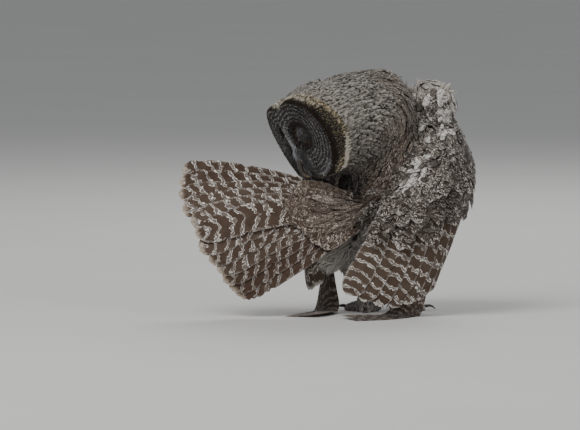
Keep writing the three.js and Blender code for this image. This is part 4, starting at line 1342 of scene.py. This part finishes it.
# Plumage: name, tint, pale and tip colours, and bars in the order of BAR_KEYS
FEATHERS = {
    "tail": (
        "Tail vanes", {"dark": BROWN, "light": (0.16, 0.125, 0.10), "mottle": 0.3, "own": 0.3},
        (0.88, 0.83, 0.77), (0.50, 0.42, 0.33), (22, 1.0, 0.12, 9, 18, 0.3, 0, 11, 0.12, 0.1),
    ),
    "wing": (
        "Wing vanes", {"dark": BROWN, "light": (0.16, 0.125, 0.10), "mottle": 0.3, "own": 0.2},
        (0.76, 0.72, 0.67), (0.74, 0.70, 0.64), (25, 1.3, 0.11, 8, 5, 0.4, 0, 8, 0.12, 0.1),
    ),
    "hand": (
        "Hand vanes",
        {"dark": (0.085, 0.058, 0.043), "light": (0.20, 0.15, 0.12), "mottle": 0.3, "own": 0.2},
        (0.66, 0.60, 0.52), (0.24, 0.19, 0.15), (22, 1.25, 0.12, 7, 6, 0.1, 0, 3, 0.12, 0.1),
    ),
    "covert": (
        "Covert feathers", {"dark": DEEP, "light": (0.50, 0.46, 0.41), "mottle": 0.12, "own": 0.1},
        (0.84, 0.77, 0.70), (0.58, 0.53, 0.48), (11, 0.88, 0.2, 8, 2, 0.4, 0, 2.5, 0.05, 0.9),
    ),
    "rump": (
        "Rump feathers", {"dark": (0.048, 0.029, 0.020), "light": (0.24, 0.19, 0.15), "mottle": 0.2},
        (0.80, 0.71, 0.62), (0.60, 0.53, 0.46), (12, 1.1, 0.2, 8, 6, 0.4, 0, 2, 0.05, 0.85),
    ),
    "scapular": (
        "Scapular feathers", {"dark": DEEP, "light": (0.50, 0.46, 0.41), "mottle": 0.2, "own": 0.3},
        (0.86, 0.82, 0.77), (0.5, 0.46, 0.41), (6.5, 1.5, 0.2, 8, 2, 0.9, 0, 1.5, 0.3, 0.2),
    ),
    "body": (
        "Body feathers", {"dark": DEEP, "light": (0.28, 0.24, 0.20)},
        (0.60, 0.54, 0.48), (0.44, 0.39, 0.34), (10, 1.0, 0.22, 7, 3, 0.5, 0, 2, 0.04, 0.9),
    ),
    "breast": (
        "Breast feathers",
        {"dark": (0.03, 0.022, 0.018), "light": (0.46, 0.42, 0.37), "mottle": 0.6, "own": 0.8},
        (0.70, 0.65, 0.59), (0.58, 0.54, 0.49), (10, 1.1, 0.1, 6, 3, 0.45, 0, 3, 0.02, 0.7),
    ),
    "head": (
        "Head feathers", {"dark": DEEP, "light": GREY, "mottle": 0.95, "scale": 210.0, "own": 0.9},
        (0.52, 0.50, 0.46), (0.42, 0.40, 0.37), (6, 0.7, 0, 2.5, 1.5, 0.2, 0, 1.4, 0, 0.3),
    ),
    # Throat feathers: a darker ground than the head's, partly their own black and partly painted shade
    # under the head.
    "throat": (
        "Throat feathers", {"dark": (0.018, 0.013, 0.010), "light": GREY, "mottle": 0.5, "own": 0.5},
        (0.42, 0.40, 0.36), (0.34, 0.32, 0.29), (6, 0.7, 0, 2.5, 1.5, 0.2, 0, 1.4, 0, 0.3),
    ),
    "ruff": (
        "Ruff feathers",
        {"dark": (0.012, 0.008, 0.005), "light": (0.74, 0.71, 0.64), "warm": (0.36, 0.26, 0.12),
         "mottle": 0.9, "scale": 260.0, "own": 1.4},
        (0.55, 0.45, 0.24), (0.50, 0.40, 0.20), (5, 0.5, 0, 2, 1, 0.1, 0, 0.9, 0, 0.3),
    ),
    "down": (
        "Downy feathers", {"dark": (0.06, 0.045, 0.037), "light": (0.62, 0.58, 0.53)},
        (0.72, 0.68, 0.63), (0.66, 0.62, 0.57), (9, 1.1, 0, 4, 2, 0.4, 0, 4, 0, 0.3),
    ),
}
LOOKS = {key: feather_material(*values) for key, values in FEATHERS.items()}
LOOKS |= {
    "face": face_material(),
    # The bill's base is painted near black, as painted shade under the bristles; toward the tip it pales to
    # its own horn colour.
    "bill": horn_material(
        "Bill horn", (0.035, 0.027, 0.02), (0.40, 0.31, 0.17),
        way=-UP, start=head_point(0, -44, FACE_FRONT), reach=22, roughness=0.4, coat=0.2,
    ),
    "claw": claw_material(),
    "lid": lid_material(),
}


# Skin and small feathers

skin = Skin()
skin_piece = place_object("skin", skin.mesh)
skin.unwrap(skin_piece)
skin.paint()
skin.mesh.polygons.foreach_set("use_smooth", np.ones(len(skin.mesh.polygons), bool))
dress(skin_piece, skin_material())
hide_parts("torso", "neck", "head", "leg_left", "leg_right", "foot_left", "foot_right")

COAT_LOOKS = {
    "crown": "head", "cheek_left": "head", "cheek_right": "head", "throat": "throat", "nape": "body",
    "mantle": "rump", "rump": "rump", "shoulder": "covert", "left_shoulder": "covert", "breast": "breast",
    "flank": "down", "belly": "down", "vent": "down", "legs": "down", "ruff": "ruff",
}
FINE_COATS = ("crown", "cheek_left", "cheek_right", "throat", "ruff", "legs")
DOWNY_COATS = ("flank", "belly", "vent")
NARROW_COATS = ("flank", "belly", "vent", "legs", "mantle", "nape", "rump")

left, up, forward = head_place(skin.middles)
on_face = (face_share(skin.middles) < 1.0) & (forward > 15)
groups = np.array([row[0] for row in LIE])[lie_weights(skin.middles).argmax(1)]
ruff = ruff_share(skin.middles)
sizes = mix(lie_weights(skin.middles) @ LIE_SIZE, np.array(RUFF_SIZE), ruff[:, None])
groups = np.where(ruff > 0.5, "ruff", groups)

roots = scatter(skin, ~on_face & (skin.middles[:, 2] > 1.5), sizes[:, 1] * ROOT_SPACING)
root_marks = markings(skin.middles[roots])
root_ways = lie_ways(skin.middles[roots], skin.face_normals[roots])
downy = np.isin(groups[roots], DOWNY_COATS)[:, None]
twist = random.normal(0, TWIST, (len(roots), 1)) * np.where(downy, 2.0, 1.0)
root_ways = unit(root_ways + np.cross(skin.face_normals[roots], root_ways) * twist)
lengths = sizes[roots, 0] * random.uniform(0.8, 1.2, len(roots))
widths = sizes[roots, 1] * random.uniform(0.8, 1.15, len(roots))
for group in sorted(COAT_LOOKS):
    c = np.flatnonzero(groups[roots] == group)
    fine = group in FINE_COATS
    kind = "fine" if fine else "downy" if group in DOWNY_COATS else "plain"
    rise = lengths[c] * LIFTS[kind] * random.uniform(0.6, 1.4, len(c))
    coat_pieces(
        f"{group}_feathers", LOOKS[COAT_LOOKS[group]], "plumage", skin, roots[c],
        FINE_MOST if fine else WIDE_MOST, lengths[c], widths[c], root_ways[c], root_marks[c], rise,
        profile=NARROW_TIP if group in NARROW_COATS else BROAD_TIP, cross=FINE if fine else WIDE,
    )


# Scapulars: brown and white feathers, stacked along the ridge between back and wing

def seen_at(column, row):
    """The skin's point at a column and row of the picture, its normal and its face."""
    rise = math.radians(CAMERA_RISE)
    x = (column - ORIGIN_PIXEL[0]) * MM_PER_PIXEL
    v = (ORIGIN_PIXEL[1] - row) * MM_PER_PIXEL
    start = Vector((x, -BEFORE, (v + BEFORE * math.sin(rise)) / math.cos(rise)))
    return skin.tree.ray_cast(start, Vector((0, math.cos(rise), -math.sin(rise))))


def scapulars():
    """Faces, ways and whiteness of the ridge's feathers: white on the hump, then in broken patches."""
    faces, ways, white = [], [], []
    path = [(*pixel, 0.0) for pixel in RIDGE]
    for s in np.linspace(0, 1, RIDGE_STEPS):
        here, ahead = spline(path, [s, s + 0.05])
        run = unit(ahead - here)
        hump = smooth(0.26, 0.12, s)
        patch = mix(0.55 + 0.45 * math.sin(s * RIDGE_PATCHES), 1.0, hump)
        for aside, chance in RIDGE_ROWS:
            column, row = here[0] - run[1] * aside, here[1] + run[0] * aside
            column, row = (np.array([column, row]) + random.normal(0, RIDGE_SPREAD, 2)).tolist()
            point, normal, face, _ = seen_at(column, row)
            if face is None:
                continue
            normal = np.array(normal)
            way = turned(np.array([run[0], 0, -run[1]]), normal, random.normal(0, 0.4))
            faces.append(face)
            ways.append(laid(way, normal))
            white.append(random.random() < max(chance, 0.5 * hump) * patch)
    return np.array(faces), np.array(ways), np.array(white)


faces, ways, white = scapulars()
for name, chosen, look, mark in (
    ("white", white, "scapular", (0.25, 0.0, 1.0)),
    ("brown", ~white, "covert", (0.06, 0.08, 1.0)),
):
    count = int(chosen.sum())
    piece = coat_piece(
        f"scapular_{name}_feathers", skin, faces[chosen],
        random.uniform(18, 26, count), random.uniform(12, 16, count), ways[chosen],
        np.tile(mark, (count, 1)), random.uniform(3.0, 6.0, count), base=2.5, curl=0.35,
    )
    dress(piece, LOOKS[look])


# The facial disc: fine stiff feathers that stream away from each eye

def disc_marks(points):
    """Pale crescents between the eyes, dark patches round the eyes, chin and rim, and rings elsewhere. The
    patches round the eyes are partly a dark ring of their own and partly painted shade in the eyes'
    hollows.
    """
    left, up, _ = head_place(points)
    angle, share = rim_angle(points)
    side = np.abs(left)
    from_eye = np.hypot((side - EYE_SIDE) / 0.9, up - EYE_UP)
    bend = 0.010 * (up - EYE_UP + 4) ** 2
    width = np.where(left < 0, 9.0, 4.5)
    crescent = 0.8 * np.exp(-(((side - width - bend) / width) ** 2)) * smooth(34, 16, np.abs(up - 2))
    lore = np.exp(-(((side - 13) / 8) ** 2)) * smooth(-4, -14, up) * smooth(-44, -32, up)
    lore *= np.where(left > 0, 0.35, 1.0)
    # Dark round each eye: partly a dark ring of its own, partly painted shade in the eye's hollow.
    patch = np.exp(-((from_eye / 19) ** 4)) * smooth(9, 13, side)
    chin = np.exp(-((left / 14) ** 2)) * smooth(-42, -50, up)
    rim = smooth(0.89, 0.95, share)
    foot = smooth(118, 130, angle) * smooth(0.72, 0.84, share) * (1 - rim)
    pale = np.clip(np.maximum(np.maximum(crescent, lore), 0.35 * foot) - patch - rim, 0, 1)
    rings = np.clip(1 - patch * 1.2 - chin - rim - lore, 0, 1)
    warm = np.clip(rim * 0.95 + chin + 0.6 * patch, 0, 1)
    return np.stack([pale, warm, rings], 1)


def between(x, low, high):
    return (x > low) & (x < high)


def eye_side(points):
    return np.where(head_place(points)[0] > 0, 1, -1)


bill_gap = between(left, -6, 6) & between(up, -52, -18) & (forward > 30)
eye_gap = np.hypot(np.abs(left) - EYE_SIDE, up - EYE_UP) < EYE_R * EYE_GAP
disc = scatter(skin, on_face & ~bill_gap & ~eye_gap, np.full(len(skin.middles), DISC_SPACING))
place, normal = skin.middles[disc], skin.face_normals[disc]
aside, height, _ = head_place(place)
count = len(disc)
side = eye_side(place)
eyes = head_point(side * EYE_SIDE, np.full(count, EYE_UP), np.full(count, EYE_FORWARD))
fan = np.exp(-((aside / 13) ** 2)) * smooth(34, 0, height)
ways = unit(unit(place - eyes) + fan[:, None] * (-1.5 * UP + 0.3 * side[:, None] * LEFT))
ways = unit(ways + np.cross(normal, ways) * random.normal(0, DISC_TWIST, (count, 1)))
ways = laid(ways, normal)
disc_length = mix(12.0, 7.0, smooth(0.75, 0.95, face_share(place))) * random.uniform(0.8, 1.2, count)
disc_rise = disc_length * random.uniform(0.05, 0.16, count)
for name, chosen in (("left", np.flatnonzero(side > 0)), ("right", np.flatnonzero(side < 0))):
    coat_pieces(
        f"disc_{name}_feathers", LOOKS["face"], "face", skin, disc[chosen], FINE_MOST, disc_length[chosen],
        random.uniform(1.8, 2.6, len(chosen)), ways[chosen], disc_marks(place[chosen]), disc_rise[chosen],
        profile=NARROW_TIP, cross=FINE, thick=0.35,
    )


# Bristles: long pale whiskers that sweep from between the eyes over the base of the bill

lore = on_face & between(np.abs(left), 2, 17) & between(up, -40, 0)
whisker = scatter(skin, lore, np.full(len(skin.middles), WHISKER_SPACING))
place, normal = skin.middles[whisker], skin.face_normals[whisker]
side = eye_side(place)[:, None]
ways = unit(-UP + side * LEFT * random.uniform(-0.5, 0.4, side.shape) + 0.25 * FORWARD)
ways = laid(ways, normal)
count = len(whisker)
inward = smooth(6, 2, np.abs(head_place(place)[0]))
paleness = np.where(side[:, 0] < 0, 1.0, mix(0.3, 1.0, inward)) * random.uniform(0.5, 1.0, count)
marks = np.stack([paleness, 0.5 * (1 - paleness), np.zeros(count)], 1)
piece = coat_piece(
    "bristles", skin, whisker, random.uniform(13, 22, count), random.uniform(0.8, 1.3, count), ways, marks,
    random.uniform(3, 8, count), profile=WHISKER, cross=FINE, thick=0.4,
)
dress(piece, LOOKS["face"])


# Closed lids over each eye, with their own tiny feathers

def lid(name, side, upper):
    """A shell over half of the eyeball, whose free edge is curved along the slit."""
    centre = eye_centre(side)
    rings = []
    for theta in np.radians(np.linspace(-LID_SPAN, LID_SPAN, 25)):
        slit = LID_SLIT + LID_CURVE * (theta / math.radians(LID_SPAN)) ** 2
        gap = LID_GAP * math.cos(theta)
        start = slit + gap if upper else slit - gap
        end = LID_REACH if upper else -LID_REACH
        phi = np.radians(np.linspace(start, end, 12))
        flat = side * LEFT * math.sin(theta) + FORWARD * math.cos(theta)
        way = np.cos(phi)[:, None] * flat + np.sin(phi)[:, None] * UP
        roll = LID_ROLL * np.exp(-((np.degrees(phi) - start) / 6) ** 2)[:, None]
        outer = centre + way * (EYE_R + LID_THICK + roll)
        inner = centre + way * (EYE_R + LID_ROOM)
        rings.append(np.concatenate([outer, inner[::-1]]))
    points, faces = loft(rings)
    if (side > 0) == upper:
        faces = faces[:, ::-1]
    piece = dress(build_mesh(name, points, faces), LOOKS["lid"])
    corners = points[faces]
    crossed = np.cross(corners[:, 2] - corners[:, 0], corners[:, 3] - corners[:, 1])
    normals = unit(crossed)
    middles = corners.mean(1)
    outward = unit(middles - centre)
    normals *= np.where(dot(normals, outward) < 0, -1, 1)
    areas = np.linalg.norm(crossed, axis=1) / 2
    own = [skin.tree.find_nearest(Vector(m))[2] for m in middles]
    ground = Ground(points, faces.tolist(), normals, areas, skin.face_uv[own])
    outside = np.linalg.norm(middles - centre, axis=1) > EYE_R + LID_THICK * 0.9
    pick = scatter(ground, outside, np.full(len(middles), LID_SPACING))
    ways = (UP if upper else -UP) + side * LEFT * random.normal(0.2, 0.25, (len(pick), 1))
    ways = laid(ways, ground.face_normals[pick])
    count = len(pick)
    marks = np.stack([random.uniform(0.0, 0.5, count), np.full(count, 0.25), np.zeros(count)], 1)
    piece = coat_piece(
        name + "_feathers", ground, pick, random.uniform(4, 6.5, count), random.uniform(1.1, 1.7, count),
        ways, marks, random.uniform(0.5, 1.4, count), profile=NARROW_TIP, cross=FINE, thick=0.3, base=0.2,
        sink=0.4,
    )
    dress(piece, LOOKS["face"])


def eyeball(name, side):
    centre = eye_centre(side)
    points, faces = limb(
        [centre - FORWARD * EYE_R, centre, centre + FORWARD * EYE_R],
        lambda t: EYE_R * math.sqrt(max(0.0004, 1 - (2 * t - 1) ** 2)),
        sides=32, steps=40, up=LEFT,
    )
    piece = build_mesh(name + "_ball", points, faces)
    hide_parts(name)
    dress(piece, eye_material(side))


for name, side in (("left", 1), ("right", -1)):
    eyeball(f"eye_{name}", side)
    lid(f"lid_{name}_upper", side, True)
    lid(f"lid_{name}_lower", side, False)


# Loose feathers that stand up from the crown and the hump

def tuft(name, pixel, count, length, width, look, pale, lean):
    column, row = pixel
    point = seen_at(column, row)[0]
    while point is None:
        row += 1
        point = seen_at(column, row)[0]
    near = np.linalg.norm(skin.middles - np.array(point), axis=1) < TUFT_R
    pick = random.choice(np.flatnonzero(near), count, replace=False)
    way = unit(np.array(lean) + random.normal(0, 0.3, (count, 3)))
    way = laid(way, skin.face_normals[pick])
    marks = np.tile((pale, 0.1, 0.9), (count, 1))
    piece = coat_piece(
        name, skin, pick, random.uniform(0.8, 1.2, count) * length, np.full(count, width), way, marks,
        random.uniform(0.3, 0.6, count) * length, profile=NARROW_TIP, thick=0.35, curl=-0.2,
    )
    dress(piece, LOOKS[look])


for tuft_numbers in TUFTS:
    tuft(*tuft_numbers)


# Tail and wings

def rectrix_tone_and_shade(u):
    """The lower rectrices are painted darker, with fainter bars, than the upper ones: painted shade on the
    lower part of the fan.
    """
    low = smooth(0.4, 0.9, u)
    return np.stack([mix(0.25, 0.0, low), np.full(len(u), 0.08), mix(1.0, 0.5, low)], 1)


tail_rows = [
    vane_row(FAN, RECTRICES, 23, 0.08, 1.02, top=5, vary=0.035, stations=36, split=0.25, tone=rectrix_tone_and_shade),
]
tail_coverts = [
    vane_row(
        FAN, 11, 15, 0.12, lambda u: 0.40 + 0.07 * np.sin(np.pi * u), shape=SHORT, lift=7, top=4, dive=6,
        vary=0.12, stations=18, pitch=1.4,
    ),
]
piece = dress(vane_piece("tail_feathers", tail_rows), LOOKS["tail"])
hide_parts("tail")
dress(vane_piece("tail_coverts", tail_coverts), LOOKS["rump"])


def quill_tone(u):
    """Inner quills are paler and more closely barred than outer ones."""
    return np.stack([mix(0.1, 0.34, u**2), np.full(len(u), 0.08), np.ones(len(u))], 1)


# Tiers of wing coverts: count, half width, start, first and last end, lift, dive, flare, vary, stations
COVERT_TONE = (0.02, 0.08, 0.9)
RIGHT_TIERS = (
    (13, 15, 0.10, 0.58, 0.60, 7, 5, 7, 0.14, 24),
    (15, 13, 0.08, 0.53, 0.47, 10, 7, 5, 0.2, 22),
    (17, 11, 0.04, 0.40, 0.37, 12, 9, 4, 0.25, 20),
)
LEFT_TIERS = (
    (11, 15, 0.10, 0.62, 0.62, 7, 5, 0, 0.14, 18),
    (13, 12, 0.05, 0.42, 0.42, 11, 8, 0, 0.2, 16),
)


def covert_tiers(sheet, tiers, **ragged):
    return [
        vane_row(
            sheet, count, half, start, lambda u: mix(first, last, u), shape=SHORT, lift=lift, dive=dive,
            flare=flare, vary=vary, stations=stations, tone=COVERT_TONE, **ragged,
        )
        for count, half, start, first, last, lift, dive, flare, vary, stations in tiers
    ]


right_quills = [
    vane_row(
        FOLD_RIGHT, SECONDARIES, lambda u: mix(15, 21, u), 0.16, 1, stations=36, tone=quill_tone,
        density=lambda u: mix(0.9, 1.8, smooth(0.45, 1, u)),
    ),
]
right_hand = [stack_row(HAND_RIGHT, PRIMARIES, 16)]
right_coverts = covert_tiers(FOLD_RIGHT, RIGHT_TIERS, jitter=0.5, split=0.4, fray=3.0)
piece = dress(vane_piece("wing_right_quills", right_quills), LOOKS["wing"])
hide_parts("wing_right")
dress(vane_piece("wing_right_hand", right_hand), LOOKS["hand"])
dress(vane_piece("wing_right_coverts", right_coverts), LOOKS["covert"])

left_quills = [
    vane_row(FOLD_LEFT, SECONDARIES - 2, 15, 0.16, 1, stations=30, tone=quill_tone),
]
left_hand = [stack_row(HAND_LEFT, PRIMARIES, 15)]
left_coverts = covert_tiers(FOLD_LEFT, LEFT_TIERS)
piece = dress(vane_piece("wing_left_quills", left_quills), LOOKS["wing"])
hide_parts("wing_left")
dress(vane_piece("wing_left_hand", left_hand), LOOKS["hand"])
dress(vane_piece("wing_left_coverts", left_coverts), LOOKS["covert"])


# Bill and claws

def horn_piece(node, points, radius, material, slot, **shape):
    piece = build_mesh(node + "_horn", *limb(points, radius, **shape))
    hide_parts(node)
    dress(piece, material)


def on_bill(up, forward):
    return head_point(0, up, FACE_FRONT + forward)


horn_piece(
    "bill_upper",
    [on_bill(-20, -12), on_bill(-26, 2), on_bill(-37, 9), on_bill(-50, 9), on_bill(-57, 3)],
    lambda t: mix(7.5, 0.9, t**1.1), LOOKS["bill"], "bill", up=LEFT, flat=0.82, sides=32, steps=32,
)
horn_piece(
    "bill_lower",
    [on_bill(-33, -12), on_bill(-38, -4), on_bill(-44, 1), on_bill(-50, 2)],
    lambda t: mix(6, 1, t**1.2), LOOKS["bill"], "bill", up=LEFT, flat=0.82,
)
for name, x, side in (("left", LEG_X[0], -1), ("right", LEG_X[1], 1)):
    for toe, aim, length, claw in TOES:
        a = math.radians(aim * side)
        way = np.array([math.sin(a), math.cos(a), 0])
        heel = np.array([x, LEG_Y, 0.0])
        path = [
            heel + way * (length + d) + [0, 0, z]
            for d, z in ((-3, 5.6), (claw * 0.3, 7.6), (claw * 0.7, 6.2), (claw, 1.2))
        ]
        horn_piece(
            f"claw_{name}_{toe}", path, lambda t: mix(4.2, 0.5, t**0.85), LOOKS["claw"], "claw",
            sides=16, steps=16,
        )


# Floor, light and camera

def make_stage():
    mesh = bpy.data.meshes.new("floor")
    corners = [(x * FLOOR, y * FLOOR, 0) for x, y in ((-1, -1), (1, -1), (1, 1), (-1, 1))]
    mesh.from_pydata(corners, [], [(0, 1, 2, 3)])
    floor = place_object("floor", mesh)
    material, n, shader = new_material("Pale floor", 0.8, 0.0, 0.2)
    grain = n.noise(n.place(), 3.0)
    n.link(n.mix(grain, FLOOR_DARK, FLOOR_LIGHT), shader.inputs["Base Color"])
    mesh.materials.append(material)


def add_light(name, at, size, power):
    data = bpy.data.lights.new(name, "AREA")
    data.shape = "DISK"
    data.size = size
    data.energy = power
    light = place_object(name, data)
    light.location = at
    light.rotation_euler = (Vector(LIGHT_AIM) - Vector(at)).to_track_quat("-Z", "Y").to_euler()


def make_camera():
    data = bpy.data.cameras.new("camera")
    data.sensor_width = SENSOR
    data.lens = SENSOR * CAMERA_FAR * MM / (PICTURE_W * MM_PER_PIXEL)
    data.clip_end = CLIP_FAR
    rise = math.radians(CAMERA_RISE)
    x = (CENTRE_PIXEL[0] - ORIGIN_PIXEL[0]) * MM_PER_PIXEL
    z = (ORIGIN_PIXEL[1] - CENTRE_PIXEL[1]) * MM_PER_PIXEL / math.cos(rise)
    aim = Vector(to_world(np.array([x, 0.0, z])))
    back = Vector((0, -math.cos(rise), math.sin(rise)))
    camera = place_object("camera", data)
    camera.location = aim + back * CAMERA_FAR
    camera.rotation_euler = (-back).to_track_quat("-Z", "Y").to_euler()
    bpy.context.scene.camera = camera


make_stage()
make_camera()
for name, at, size, power in LIGHTS:
    add_light(name, at, size, power)
world = bpy.data.worlds.new("studio")
world.use_nodes = True
sky = world.node_tree.nodes["Background"].inputs
sky["Color"].default_value = (*SKY, 1)
sky["Strength"].default_value = SKY_POWER
bpy.context.scene.world = world
